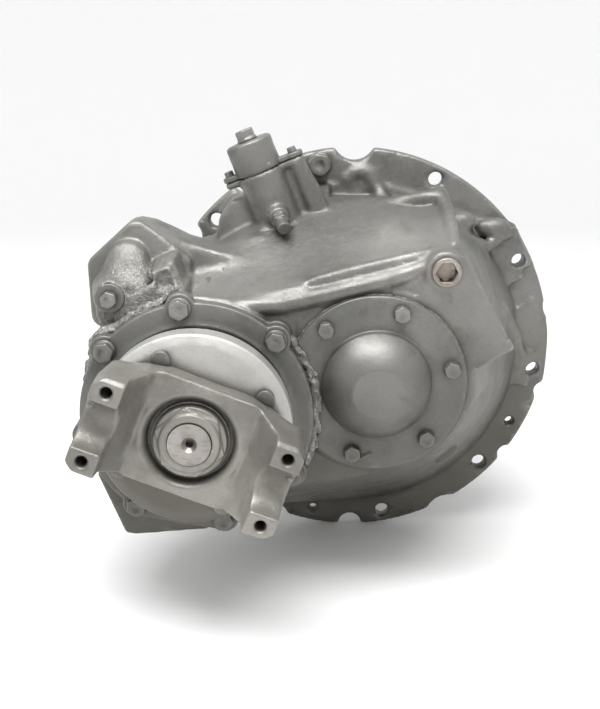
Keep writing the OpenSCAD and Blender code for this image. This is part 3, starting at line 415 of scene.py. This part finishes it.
# ---------- housing ----------
def make_housing():
    body = Field(["carrier_housing"], 2.2)
    # the deck slopes down to the front and to the left, and goes through deck_at
    deck_up, deck_at = (-0.212, 0.314, 1.0), (0, 192, 134.6)
    deck_down = [-v for v in deck_up]
    # valley between the deck and the flange, at the top
    body.take(slab([(-30, 188), (40, 187), (88, 174), (112, 172), (138, 190), (120, 212), (60, 232), (-8, 240),
                    (-26, 240)], 22.5, 64, 5), 7)
    # deck, what still stands above it near the front cut off, and the bridge from it to the lobe
    body.add(planes([-196, 56, 60], [108, 210, 205],
                    [(deck_at, deck_up), ((104, 60, 0), (1, 0.06, 0)), ((0, 60, 0), (0.0, -1, -0.25)),
                     ((-190, 0, 0), (-1, 0, 0)), ((0, 203, 0), (0, 1, 0)), ((0, 0, 70), (-0.3, 0, -1))]), 7)
    body.take(planes([-196, 126, 85], [86, 222, 190],
                     [(deck_at, deck_down), ((-186, 0, 0), (-1, 0, 0)), ((76, 0, 0), (1, 0, 0)),
                      ((0, 165, 143.1), (0.212, -0.62, -1))]), 4)
    body.add(slab([(-246, 172), (-230, 169), (-210, 160), (-192, 151), (-168, 144), (-140, 137), (-112, 128),
                   (-112, 95), (-235, 95)], 96, 140, 7, 0.1), 8)
    # step down from the deck to the front bead, and the two beads
    body.take(slab([(-58, 112), (-44, 115), (-13, 124), (22, 133), (60, 141), (60, 170), (-58, 165)],
                   203, 224, 4), 5)
    body.add(chain([(-58, 198.5, 117), (-42, 199, 121.5), (-9, 199, 130), (31, 198.5, 139.5), (58, 196.5, 146),
                    (74, 192, 151)], [5, 7, 8, 8, 7, 4.5]), 2.5)
    body.add(chain([(-186, 206, 102), (-171, 206.5, 100), (-141, 207.5, 95), (-111, 207.5, 94.5),
                    (-86, 207.5, 96), (-50, 207, 104), (-9, 207, 113.5), (31, 206.5, 124), (50, 206, 130),
                    (67, 204, 137)], [5, 7, 8.5, 9.5, 9.5, 9.5, 10, 9.5, 8.5, 6.5]), 3)
    # soft ridges round the deck
    body.add(chain([(-40, 80, 161), (-10, 80, 170), (27, 80, 181), (64, 79, 190), (93, 78, 194)],
                   [6, 8, 9, 9, 9]), 4)
    body.add(chain([(96, 72, 196), (101, 100, 184), (102, 140, 171), (100, 184, 156)], [10, 8, 7, 6]), 6)
    # round pad beside the lock's switch
    body.add(egg((-114, 104, 146), (16, 12, 9)), 3)
    body.add(egg((-105, 94, 156), (9, 8, 7)), 3)
    # front plate's edge right of the filler plug, standing out from the bell
    body.take(slab([(123, 150), (133, 128), (152, 95), (170, 62), (178, 48), (218, 58), (185, 172)],
                   178, 226, 4, -0.2), 5)
    body.add(slab([(110, 64), (146, 66), (156, 51), (132, 31), (114, 22)], 194, 211, 3), 5)
    body.add(chain([(94, 208, 148), (109, 209, 143), (117, 210.3, 130), (137, 210.3, 95), (154, 210.3, 63),
                    (162, 210.3, 50)], [4.5, 4, 3.4, 3, 3, 3.4]), 1.6)
    body.add(chain([(162, 210.3, 50), (145, 210.3, 40), (128, 210, 27)], [3.4, 2.8, 2.8]), 1.6)
    body.add(post(PLUG_X, PLUG_Z, 186, 215.5, 22, 20.5), 5)
    body.add(ring(PINION_X, 211.2, PINION_Z, 100.8, 1.9), 1.5)
    # bulges and pads at the flange's right side
    body.add(slab([(106, 160), (130, 160), (152, 152), (178, 148), (192, 138), (188, 112), (150, 108), (116, 126)],
                  10, 32, 7, 0.3), 8)
    body.add(egg((126, 48, 162), (18, 15, 12)), 9)
    body.add(egg((168, 38, 151), (20, 13, 13)), 10)
    body.add(slab([(150, 138), (176, 142), (194, 150), (216, 104), (176, 80)], 12, 32, 4, 0.25), 5)
    body.add(chain([(141, 56, 137), (159, 50, 131), (177, 40, 141), (195, 32, 146)], [7, 6.5, 6.5, 4]), 6)
    body.add(slab([(196, 44), (226, 62), (240, 14), (240, -44), (200, -40)], 12, 25, 6, 0.3), 8)
    body.add(chain([(178, 66, 60), (190, 50, 42), (205, 36, 17), (214, 28, -20)], [6, 5, 4, 3.5]), 8)
    body.add(chain([(99, 143, -106), (114, 143, -92)], [5, 6]), 4)
    # arch between the two hollows under the flange bolt
    body.add(chain([(-10, 20, 208), (0, 20, 215), (10, 20, 217), (20, 20, 212), (26, 21, 198), (34, 28, 188)],
                   [4, 5, 6, 6, 6.5, 7]), 9)
    body.add(chain([(-66, 21, 222), (-68, 24, 205), (-70, 32, 190)], [5, 6, 7]), 8)
    # foot and web of the tower
    body.add(slab([(-166, 132), (-160, 168), (-146, 188), (-112, 200), (-92, 150), (-100, 128)], 20, 74, 6), 8)
    body.add(tilted(slab([(1, 150), (17, 140), (16, 200), (10, 232), (1, 236)], 68, 84, 3)), 5)
    body.add(chain([(-66, 104, 153), (-55, 104, 157), (-43, 102, 161)], [4.5, 4.5, 4]), 5)
    # lobe: plate over the end of the fork's slot, square pocketed block, and the rim
    body.add(slab([(-262, 74), (-258, 98), (-238, 112), (-220, 120), (-196, 116), (-196, 98), (-222, 78),
                   (-244, 62)], 198, 207, 3), 5)
    body.add(slab([(-223, 130), (-203, 139), (-196, 114), (-218, 106)], 140, 205, 2.5, 0.1), 3)
    body.take(slab([(-219.5, 128), (-205, 134), (-199, 115.5), (-216, 110)], 200.5, 210, 1.5), 2)
    body.add(chain([(-214, 176, 138), (-202, 192, 136), (-193, 197, 116)], [4, 4, 3.5]), 6)
    body.add(chain([(-296, 140, 104), (-288, 140, 122), (-268, 140, 142), (-246, 140, 154), (-228, 140, 152)],
                   [4, 5, 5, 5, 4]), 5)
    # wall round the transfer gear, which the tapering body leaves open at the left
    for f1, bore in ((156, 110.5), (128.4, 88)):
        lo, hi, wall = tube(INPUT_X, INPUT_Z, 96, f1, 116.5, bore, edge=3.5)
        body.add((lo, [INPUT_X, hi[1], 90], wall), 2)
    body.roughen([-296, 150, 70], [-182, 216, 160], 1.3, 3, 11)
    body.roughen([-306, 170, 20], [-200, 226, 112], 1.1, 2, 12)
    body.roughen([-190, 60, 90], [-20, 200, 175], 0.5, 6, 13)
    # holes cut through again: bolts, jacking screws and plug
    holes = [(FIRST_FLANGE_HOLE + 36 * k, FLANGE_HOLES_R, 8.3) for k in range(10)]
    for a, out, r in holes + [(-26.5, 227, 5.2), (-102.3, 227, 5.2)]:
        body.take(post(*polar(0, 0, out, a), -10, 60, r, edge=0.5), 1.5)
    body.take(post(PLUG_X, PLUG_Z, 190, 260, 11.2, edge=0.5), 1.5)
    body.smooth(1)
    finish_piece("carrier_casting", body.geometry(0.06), "carrier_housing", "housing", "casting")


# ---------- screws ----------
def screw(flats, head, collar_r, shank_r, shank, cell=0.55):
    """Mesh data of a flanged screw that points along -Y, its seat at the origin."""
    field = blank([-collar_r, -shank, -collar_r], [collar_r, head, collar_r], cell)
    field.add(post(0, 0, -shank, 1, shank_r, edge=0.5), 0.5)
    field.add(post(0, 0, 0, head * 0.25, collar_r, collar_r - 0.8, 0.8), 0.8)
    field.add(post(0, 0, 0, head * 0.42, collar_r - 1.5, flats / 2, 0.6), 1.0)
    field.add(hexagon(flats, 0, head), 0.9)
    field.take(egg((0, head + flats * 0.42, 0), (flats * 0.5, flats * 0.5, flats * 0.5)), 0.8)
    return field.geometry(0.04)


def on_circle(x0, z0, f, r, angles):
    """Places round a circle, each screw turned differently."""
    spin = (0.3, 1.1, 0.7, 0.1, 0.9, 0.5, 0.2)
    places = []
    for angle, turn in zip(angles, spin):
        x, z = polar(x0, z0, r, angle)
        places.append(((x, f, z), (0, -1, 0), turn))
    return places


def place(name, node, geometry, places):
    """Copies of a screw in the housing at some places: (point, way it points, turn)."""
    co, faces = geometry
    points, all_faces = [], []
    for at, way, turn in places:
        lean = Vector((0, -1, 0)).rotation_difference(Vector(way).normalized()).to_matrix()
        side = Vector((math.cos(turn), 0, math.sin(turn)))
        m = np.array(lean) @ np.array([[side.x, 0, -side.z], [0, 1, 0], [side.z, 0, side.x]])
        first = len(co) * len(points)
        points.append(co @ m.T + np.array(at, float) / 1000 * [1, -1, 1])
        all_faces += [tuple(i + first for i in face) for face in faces]
    finish_piece(name, (np.concatenate(points), all_faces), node, "housing", "fastener")


def make_screws():
    up = (-math.sin(TILT), 0, math.cos(TILT))
    place("input_cover_screws", "input_cover_bolts", screw(19, 12, 12.5, 6, 22),
          on_circle(INPUT_X, INPUT_Z, 240, 120, INPUT_BOLTS))
    place("pinion_cover_screws", "pinion_cover_bolts", screw(16, 9, 9.5, 5, 18),
          on_circle(PINION_X, PINION_Z, 221.8, 82, PINION_BOLTS))
    place("flange_screw", "flange_bolt", screw(24, 15, 15, 8, 30),
          on_circle(0, 0, 20, FLANGE_HOLES_R, (FIRST_FLANGE_HOLE + 72,)))
    on_cap = []
    for x in (-34, 43):
        px, pz = tower_point(ROD_X + x, 250)
        on_cap.append(((px, ROD_F, pz), up, 0.4))
    place("lock_cap_screws", "lock_cylinder_bolts", screw(10, 6, 6, 3, 8, 0.4), on_cap)
    px, pz = tower_point(ROD_X, 280.5)
    place("lock_stop_screw_head", "lock_stop_screw", screw(19, 13, 12, 6, 10), [((px, ROD_F, pz), up, 0.2)])
    place("lobe_port_screw", "interaxle_lock_port", screw(16, 10, 8.6, 5, 8), [((-268, 208, 103), (0, -1, 0), 0.2)])


# ---------- rounded covers and small parts ----------
def make_covers():
    # a low wall, a shoulder that leans back all round, and a flat disc in the middle
    dome = [(-1, 219), (58.8, 219), (58.8, 229.4), (57.6, 230.6), (56.2, 233), (53, 237.2), (48.5, 242.2),
            (43, 247), (37, 251.2), (31, 254.6), (26.5, 256.6), (24.5, 256.2), (-1, 256.2)]
    cover = Field(["pinion_cover"], 1.0)
    cover.take(post(PINION_X, PINION_Z, 222.2, 275, 63, edge=0.5), 0.8)
    cover.add(lathe(PINION_X, PINION_Z, dome), 1.2)
    cover.add(chain([(-1, 222, -74), (11, 222, -67.5)], 2.4), 1.5)
    cover.smooth(1)
    finish_piece("pinion_cover_cast", cover.geometry(0.05), "pinion_cover", "housing", "cover_casting")
    ribs = [(ring(INPUT_X, 240, INPUT_Z, 101, 1.6), 3)]
    rounded("input_cover_cast", "input_cover", "housing", "cover_casting", 1.1, shapes=ribs)
    rounded("lock_cap", "lock_cylinder_cap", "housing", "cover_casting", 0.9)
    rounded("lock_switch_body", "lock_switch", "housing", "cover_casting", 0.6)
    rounded("lobe_cap", "interaxle_lock_cap", "housing", "cover_casting", 0.7)
    rounded("fill_plug_body", "fill_plug", "housing", "plug_steel", 0.6)
    rounded("deflector_shield", "dust_deflector", "input_line", "deflector_paint", 1.1)
    rounded("deflector_buttons", "deflector_bolts", "input_line", "fastener", 0.8)
    # the nut's corners are turned down to two steps
    steps = [(post(INPUT_X, INPUT_Z, 306, 315.5, 38.5, 37, 1.5), 1.0), (post(INPUT_X, INPUT_Z, 306, 321, 31), 1.2)]
    bore = [(post(INPUT_X, INPUT_Z, 300, 330, 22.3, edge=0.2), 0.4)]
    rounded("yoke_nut_body", "yoke_nut", "input_line", "yoke_iron", 0.7, shapes=steps, cuts=bore)
    rounded("yoke_washer_disc", "yoke_washer", "input_line", "yoke_iron", 0.8, passes=0)


def make_yoke():
    yoke = Field(["input_yoke"], 1.1)
    for s in (-1, 1):
        for w in (-1, 1):
            # web that runs from the hub out to each pad
            yoke.add(yoke_frame(chain([(s * 44, 304, w * 30), (s * 72, 312, w * 37), (s * 84, 344, w * 38)],
                                      [9, 10, 8])), 9)
            yoke.add(yoke_frame(chain([(s * 30, 296, w * 50), (s * 62, 298, w * 46), (s * 88, 312, w * 42)],
                                      [8, 10, 10])), 8)
    yoke.add(yoke_frame(ring(0, 312, 0, 50, 4.5)), 5)
    yoke.roughen([-290, 252, -130], [-60, 350, 95], 0.45, 4, 21)
    yoke.smooth(5)
    # machined faces
    yoke.take(yoke_frame(planes([-120, PAD_F, -60], [120, PAD_F + 13, 60], [((0, PAD_F, 0), (0, -1, 0))])), 0.8)
    yoke.take(yoke_frame(post(0, 0, 302, 340, 44, edge=0.5)), 1.2)
    yoke.take(yoke_frame(post(0, 0, 309, 322, 43, 53, edge=0.5)), 4)
    yoke.take(yoke_frame(post(0, 0, 240, 310, 25.05, edge=0.2)), 0.5)
    for s in (-1, 1):
        ear = sorted((s * 60, s * 115))
        yoke.take(yoke_frame(cross_bar(SADDLE_R, *sorted((s * 58, s * 140)), PAD_F)), 0.8)
        for w in (-1, 1):
            hole = s * STRAP_X, w * STRAP_Z
            yoke.take(yoke_frame(post(*hole, 262, 400, STRAP_R, edge=0.2)), 0.6)
            yoke.take(yoke_frame(post(*hole, PAD_F - 2.8, PAD_F + 5, STRAP_R, 13.5, edge=0.2)), 0.8)
            edge_z = sorted((w * 20, w * 62))
            yoke.take(yoke_frame(planes([ear[0], 340, edge_z[0]], [ear[1], 374, edge_z[1]],
                                        [((s * STRAP_X, PAD_F, w * 46.5), (0, -1, -w))])), 0.8)
        # tab that locates a cap of the cross
        yoke.add(yoke_frame(chain([(s * 103, 347.5, 14), (s * 103, 343, 19)], [4, 3.6])), 1.5)
    finish_piece("yoke_forging", yoke.geometry(0.05), "input_yoke", "input_line", "yoke_iron")


# ---------- sealing compound ----------
def make_sealant():
    """Compound in the joints of both covers, squeezed out at the left and between them."""
    field = blank([-322, 205, -172], [120, 234, 142], 1.1)
    rng = np.random.default_rng(5)

    def smear(x0, z0, f, r, a0, a1, small, large, lobes=()):
        """An uneven bead from one angle to another, led out round the lobes at some angles."""
        points, radii = [], []
        for a in np.arange(a0, a1 + 0.1, 2.5):
            near = min([abs(a - b) for b in lobes] + [90])
            out = r + 11 * math.cos(min(near / 9, 1) * math.pi / 2) + rng.uniform(-1.4, 1.4)
            px, pz = polar(x0, z0, out, a)
            points.append((px, f + rng.uniform(-1.2, 1.2), pz))
            radii.append(rng.uniform(small, large))
        field.add(chain(points, radii), 2.5)

    field.add(ring(INPUT_X, 222.5, INPUT_Z, 121, 2.2), 1)
    field.add(ring(PINION_X, 212.2, PINION_Z, 96.2, 1.5), 1)
    smear(INPUT_X, INPUT_Z, 223.2, 124.8, 98, 164, 1.5, 3.0, INPUT_BOLTS)
    smear(INPUT_X, INPUT_Z, 218.5, 127.2, 100, 160, 2.2, 4.0, INPUT_BOLTS)
    smear(PINION_X, PINION_Z, 212.5, 97.5, 205, 245, 1.2, 2.6)
    # the groove between the two covers, filled and smeared over both edges
    smear(INPUT_X, INPUT_Z, 215, 128, -40, 42, 4.4, 5.2)
    smear(INPUT_X, INPUT_Z, 219.8, 128, -38, 40, 3.8, 4.8)
    smear(INPUT_X, INPUT_Z, 221.6, 133, -32, 32, 0.8, 2.2)
    d = field.d
    d -= lumps(d.shape, 3, 8) * np.float32(0.55) * (np.abs(d) < 3)
    d += lumps(d.shape, 7, 9) * np.float32(0.5) * (np.abs(d) < 3)
    finish_piece("sealing_compound", field.geometry(0.05), "cover_gaskets", "housing", "gasket")


# ---------- finishes ----------
class Finish:
    """A procedural finish. Everything is in the object's own coordinates, so it moves with the piece."""

    def __init__(self, name, metallic, roughness):
        self.mat = bpy.data.materials.new(name)
        self.mat.use_nodes = True
        self.tree = self.mat.node_tree
        self.shader = self.tree.nodes["Principled BSDF"]
        self.shader.inputs["Metallic"].default_value = metallic
        self.rough = roughness
        self.place = self.tree.nodes.new("ShaderNodeTexCoord").outputs["Object"]

    def link(self, a, b):
        self.tree.links.new(a, b)

    def noise(self, scale, detail=2.0, distortion=0.0, stretch=None):
        node = self.tree.nodes.new("ShaderNodeTexNoise")
        node.inputs["Scale"].default_value = scale
        node.inputs["Detail"].default_value = detail
        node.inputs["Distortion"].default_value = distortion
        if stretch:
            mapping = self.tree.nodes.new("ShaderNodeMapping")
            mapping.inputs["Scale"].default_value = stretch
            self.link(self.place, mapping.inputs["Vector"])
            self.link(mapping.outputs["Vector"], node.inputs["Vector"])
        else:
            self.link(self.place, node.inputs["Vector"])
        return node.outputs["Fac"]

    def span(self, value, a, b, low=0.0, high=1.0):
        node = self.tree.nodes.new("ShaderNodeMapRange")
        node.interpolation_type = "SMOOTHSTEP"
        self.link(value, node.inputs["Value"])
        for key, v in zip(("From Min", "From Max", "To Min", "To Max"), (a, b, low, high)):
            node.inputs[key].default_value = v
        return node.outputs["Result"]

    def math(self, kind, a, b):
        node = self.tree.nodes.new("ShaderNodeMath")
        node.operation = kind
        for socket, v in zip(node.inputs, (a, b)):
            if isinstance(v, (int, float)):
                socket.default_value = v
            else:
                self.link(v, socket)
        return node.outputs["Value"]

    def mix(self, share, a, b):
        node = self.tree.nodes.new("ShaderNodeMix")
        node.data_type = "RGBA"
        self.link(share, node.inputs["Factor"])
        for socket, v in ((node.inputs["A"], a), (node.inputs["B"], b)):
            if isinstance(v, tuple):
                socket.default_value = (*v, 1)
            else:
                self.link(v, socket)
        return node.outputs["Result"]

    def near(self, point, inner, outer):
        """1 close to a point in millimetres (x, forward, z), 0 away from it."""
        node = self.tree.nodes.new("ShaderNodeVectorMath")
        node.operation = "DISTANCE"
        self.link(self.place, node.inputs[0])
        node.inputs[1].default_value = (point[0] / 1000, -point[1] / 1000, point[2] / 1000)
        return self.span(node.outputs["Value"], inner / 1000, outer / 1000, 1.0, 0.0)

    def hollows(self, reach):
        """1 in corners and hollows, 0 on open surfaces, from ambient occlusion: the mask for painted shade there.
        """
        node = self.tree.nodes.new("ShaderNodeAmbientOcclusion")
        node.samples = 6
        node.inputs["Distance"].default_value = reach / 1000
        return self.span(node.outputs["AO"], 0.35, 0.95, 1.0, 0.0)

    def edges(self):
        """1 on convex edges, where paint wears off."""
        geometry = self.tree.nodes.new("ShaderNodeNewGeometry")
        return self.span(geometry.outputs["Pointiness"], 0.52, 0.58)

    def bump(self, heights, depth):
        """heights: (value, share). depth is in millimetres."""
        total = None
        for value, share in heights:
            v = self.math("MULTIPLY", value, share)
            total = v if total is None else self.math("ADD", total, v)
        node = self.tree.nodes.new("ShaderNodeBump")
        node.inputs["Distance"].default_value = depth / 1000
        node.inputs["Strength"].default_value = 1.0
        self.link(total, node.inputs["Height"])
        self.link(node.outputs["Normal"], self.shader.inputs["Normal"])

    def colour(self, value):
        self.link(value, self.shader.inputs["Base Color"])

    def roughness(self, value):
        self.link(value, self.shader.inputs["Roughness"])


def painted_casting(name, light, dark, grime_and_shade_tint, metallic=0.55, rough=0.42, coarse=1.0, wear=True, low_shade_and_dirt=0.5,
                    low_shade_heights=(0.13, -0.13), patchy=0.45, splatter=False):
    """Silver paint over a sand-cast or forged skin, with worn edges, painted shade in the corners and painted shade
    towards the bottom.

    The shade painted at the bottom, in a dark tint of the dirt colour, grows downwards from nothing to full between
    two heights in metres, given as an argument."""
    m = Finish(name, metallic, rough)
    broad, patch = m.noise(7, 3), m.noise(34, 5, 0.4)
    middle, fine, speck = m.noise(150, 4, 0.2), m.noise(620, 3), m.noise(1400, 1)
    tone = m.mix(m.span(broad, 0.38, 0.64), dark, light)
    tone = m.mix(m.math("MULTIPLY", m.span(patch, 0.52, 0.72), patchy), tone, grime_and_shade_tint)
    tone = m.mix(m.math("MULTIPLY", m.span(middle, 0.5, 0.72), 0.25), tone, light)
    tone = m.mix(m.math("MULTIPLY", m.span(fine, 0.56, 0.70), 0.35), tone, tuple(c * 0.55 for c in dark))
    # painted shade: darker towards the bottom, in a dark tint of the dirt colour, its edge made uneven by noise
    low = m.tree.nodes.new("ShaderNodeSeparateXYZ")
    m.link(m.place, low.inputs["Vector"])
    height_for_low_shade = m.math("ADD", low.outputs["Z"], m.math("MULTIPLY", m.math("SUBTRACT", patch, 0.5), 0.12))
    tone = m.mix(m.math("MULTIPLY", m.span(height_for_low_shade, *low_shade_heights), low_shade_and_dirt), tone, tuple(c * 0.62 for c in grime_and_shade_tint))
    # painted shade: corners and hollows darkened from ambient occlusion, in a dark tint of the dirt colour
    corner_shade = m.hollows(11)
    tone = m.mix(m.math("MULTIPLY", corner_shade, 0.7), tone, tuple(c * 0.42 for c in grime_and_shade_tint))
    if wear:
        worn = m.math("MULTIPLY", m.edges(), m.span(patch, 0.35, 0.6, 0.35, 0.85))
        tone = m.mix(worn, tone, tuple(min(c * 1.35, 0.85) for c in light))
    heights = [(middle, 0.9 * coarse), (fine, 0.5 * coarse), (speck, 0.12)]
    if splatter:
        # gritty blotches on the lobe and at the left of the input cover
        where = m.math("MAXIMUM", m.near((-232, 185, 88), 42, 80), m.near((-286, 215, 25), 25, 55))
        grit = m.noise(330, 5, 0.6)
        heights.append((m.math("MULTIPLY", where, grit), 3.2))
        tone = m.mix(m.math("MULTIPLY", m.math("MULTIPLY", where, m.span(grit, 0.45, 0.62)), 0.65), tone,
                     tuple(min(c * 1.25, 0.8) for c in light))
    m.colour(tone)
    m.roughness(m.math("ADD", m.span(patch, 0.3, 0.7, rough - 0.08, rough + 0.1),
                       m.math("MULTIPLY", corner_shade, 0.15)))
    m.bump(heights, 0.55 * coarse)
    return m.mat


def bare_steel(name, light, dark, rough=0.32, metallic=0.9, stretch=(1, 1, 1), rust=0.0):
    """Turned, ground or forged steel with fine marks, a film of oil and a little rust."""
    m = Finish(name, metallic, rough)
    broad, patch, marks = m.noise(22, 3), m.noise(95, 5, 0.5), m.noise(420, 2, 0.0, stretch)
    fine = m.noise(1500, 2)
    tone = m.mix(m.span(broad, 0.35, 0.65), dark, light)
    tone = m.mix(m.math("MULTIPLY", m.span(marks, 0.5, 0.68), 0.3), tone, tuple(c * 0.6 for c in dark))
    tone = m.mix(m.math("MULTIPLY", m.span(patch, 0.55, 0.75), 0.3 + rust), tone, (0.16, 0.115, 0.08))
    # painted shade: corners and hollows darkened from ambient occlusion
    corner_shade = m.hollows(6)
    tone = m.mix(m.math("MULTIPLY", corner_shade, 0.65), tone, tuple(c * 0.25 for c in dark))
    m.colour(tone)
    m.roughness(m.span(patch, 0.3, 0.75, rough - 0.07, rough + 0.16))
    m.bump([(marks, 0.5), (patch, 0.4), (fine, 0.15)], 0.14)
    return m.mat


def soft_rubber(name, tint):
    """Matt black rubber."""
    m = Finish(name, 0.0, 0.6)
    patch, fine = m.noise(60, 4), m.noise(900, 3)
    m.colour(m.mix(m.span(patch, 0.4, 0.7), tint, tuple(c * 1.8 + 0.01 for c in tint)))
    m.roughness(m.span(patch, 0.3, 0.7, 0.5, 0.75))
    m.bump([(fine, 0.6), (patch, 0.5)], 0.2)
    return m.mat


def compound(name):
    """Painted-over sealing compound, gritty and uneven."""
    m = Finish(name, 0.35, 0.5)
    patch, grit, fine = m.noise(70, 5, 0.6), m.noise(330, 5, 0.8), m.noise(1100, 2)
    tone = m.mix(m.span(patch, 0.4, 0.65), (0.12, 0.119, 0.11), (0.2, 0.198, 0.186))
    tone = m.mix(m.math("MULTIPLY", m.span(grit, 0.52, 0.66), 0.6), tone, (0.5, 0.49, 0.465))
    tone = m.mix(m.math("MULTIPLY", m.span(grit, 0.42, 0.3), 0.5), tone, (0.07, 0.07, 0.065))
    m.colour(tone)
    m.roughness(m.span(patch, 0.3, 0.7, 0.35, 0.62))
    m.bump([(grit, 1.0), (fine, 0.3)], 0.8)
    return m.mat


def make_finishes():
    silver, shade, olive = (0.222, 0.219, 0.205), (0.135, 0.133, 0.124), (0.10, 0.093, 0.072)
    made = {
        "casting": painted_casting("paint_on_casting", silver, shade, olive, low_shade_and_dirt=0.75, splatter=True),
        "cover_casting": painted_casting("paint_on_covers", (0.2, 0.198, 0.188), (0.13, 0.129, 0.122), olive,
                                         0.6, 0.45, 0.6, low_shade_and_dirt=0.4),
        "fastener": painted_casting("paint_on_screws", (0.25, 0.246, 0.232), (0.15, 0.147, 0.138), olive, 0.6, 0.38,
                                    0.6, low_shade_and_dirt=0.5),
        "plug_steel": bare_steel("worn_plug_steel", (0.42, 0.375, 0.335), (0.27, 0.235, 0.205), 0.36, 0.85,
                                 rust=0.1),
        # strong painted shade over the deflector's lower half, below the yoke
        "deflector_paint": painted_casting("pale_deflector_paint", (0.50, 0.495, 0.47), (0.41, 0.40, 0.38),
                                           (0.15, 0.135, 0.115), 0.45, 0.4, 0.4, low_shade_and_dirt=0.95,
                                           low_shade_heights=(-0.01, -0.06), patchy=0.1),
        "yoke_iron": painted_casting("paint_on_forging", (0.29, 0.278, 0.255), (0.19, 0.182, 0.166),
                                     (0.13, 0.116, 0.095), 0.5, 0.44, 0.85, low_shade_and_dirt=0.15),
        "gasket": compound("sealing_compound_paint"),
        "seal_rubber": soft_rubber("seal_rubber", (0.03, 0.03, 0.03)),
        "bearing_steel": bare_steel("ground_steel", (0.55, 0.55, 0.56), (0.38, 0.38, 0.39), 0.22, 0.95),
        "machined_steel": bare_steel("turned_steel", (0.36, 0.34, 0.315), (0.24, 0.225, 0.21), 0.36, 0.85,
                                     (0.3, 0.3, 1)),
        "spring_steel": bare_steel("spring_steel", (0.3, 0.3, 0.31), (0.18, 0.18, 0.19), 0.34, 0.9),
        "gear_steel": bare_steel("gear_steel", (0.42, 0.41, 0.40), (0.27, 0.26, 0.25), 0.3, 0.92),
        "case_iron": painted_casting("raw_cast_iron", (0.22, 0.213, 0.2), (0.14, 0.135, 0.128),
                                     (0.10, 0.085, 0.068), 0.5, 0.5, 0.9, wear=False, low_shade_and_dirt=0.2),
    }
    slots = {part["node"]: part["material_slot"] for part in frame["record"]["subparts"]}
    wanted = [(ob, slots[name]) for name, ob in nodes.items()]
    wanted += [(ob, ob["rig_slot"]) for ob in bpy.data.objects if ob.type == "MESH" and ob.get("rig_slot")]
    for ob, slot in wanted:
        ob.data.materials.clear()
        ob.data.materials.append(made[slot])


# ---------- camera, light, floor ----------
def make_camera():
    cam = bpy.data.objects.new("camera", bpy.data.cameras.new("camera"))
    scene.collection.objects.link(cam)
    cam.data.sensor_width = 36.0
    cam.data.lens = 54.53
    cam.location = (-0.06536, -1.32099, 0.36063)
    cam.rotation_euler = (math.radians(74), 0, 0)
    cam.data.clip_start, cam.data.clip_end = 0.01, 30
    scene.camera = cam


def area_light(name, at, aim, size, power):
    lamp = bpy.data.lights.new(name, "AREA")
    lamp.shape = "RECTANGLE"
    lamp.size, lamp.size_y = size
    lamp.energy = power
    ob = bpy.data.objects.new(name, lamp)
    scene.collection.objects.link(ob)
    ob.location = at
    ob.rotation_euler = (Vector(aim) - Vector(at)).to_track_quat("-Z", "Y").to_euler()


def make_stage():
    """A pale floor that curves up into a low wall all round."""
    lo, hi = cad_box
    level = lo.z - 0.002
    flat, curve, top, steps = 2.6, 1.4, 3.6, 96
    profile = [(0, 0)] + [(flat + curve * math.sin(a), curve - curve * math.cos(a))
                          for a in np.linspace(0, math.pi / 2, 14)] + [(flat + curve, top)]
    verts = [(0, 0, level)] + [(r * math.cos(k * math.tau / steps), r * math.sin(k * math.tau / steps), level + h)
                               for r, h in profile[1:] for k in range(steps)]
    faces = [(0, 1 + k, 1 + (k + 1) % steps) for k in range(steps)]
    for row in range(len(profile) - 2):
        a, b = 1 + row * steps, 1 + (row + 1) * steps
        faces += [(a + k, b + k, b + (k + 1) % steps, a + (k + 1) % steps) for k in range(steps)]
    mesh = bpy.data.meshes.new("floor")
    mesh.from_pydata(verts, [], faces)
    mesh.shade_smooth()
    floor = bpy.data.objects.new("floor", mesh)
    scene.collection.objects.link(floor)
    mat = bpy.data.materials.new("floor")
    mat.use_nodes = True
    bsdf = mat.node_tree.nodes["Principled BSDF"]
    bsdf.inputs["Base Color"].default_value = (PALE, PALE, PALE, 1)
    bsdf.inputs["Roughness"].default_value = 0.9
    floor.data.materials.append(mat)
    world = bpy.data.worlds.new("studio")
    world.use_nodes = True
    world.node_tree.nodes["Background"].inputs["Color"].default_value = (1, 1, 1, 1)
    world.node_tree.nodes["Background"].inputs["Strength"].default_value = PALE
    scene.world = world
    scene.view_settings.view_transform = "Standard"
    area_light("top", (-0.2, -0.75, 1.7), (0, -0.1, 0.0), (1.8, 0.95), 50)


make_camera()
make_stage()
make_housing()
make_covers()
make_screws()
make_yoke()
make_sealant()
make_finishes()
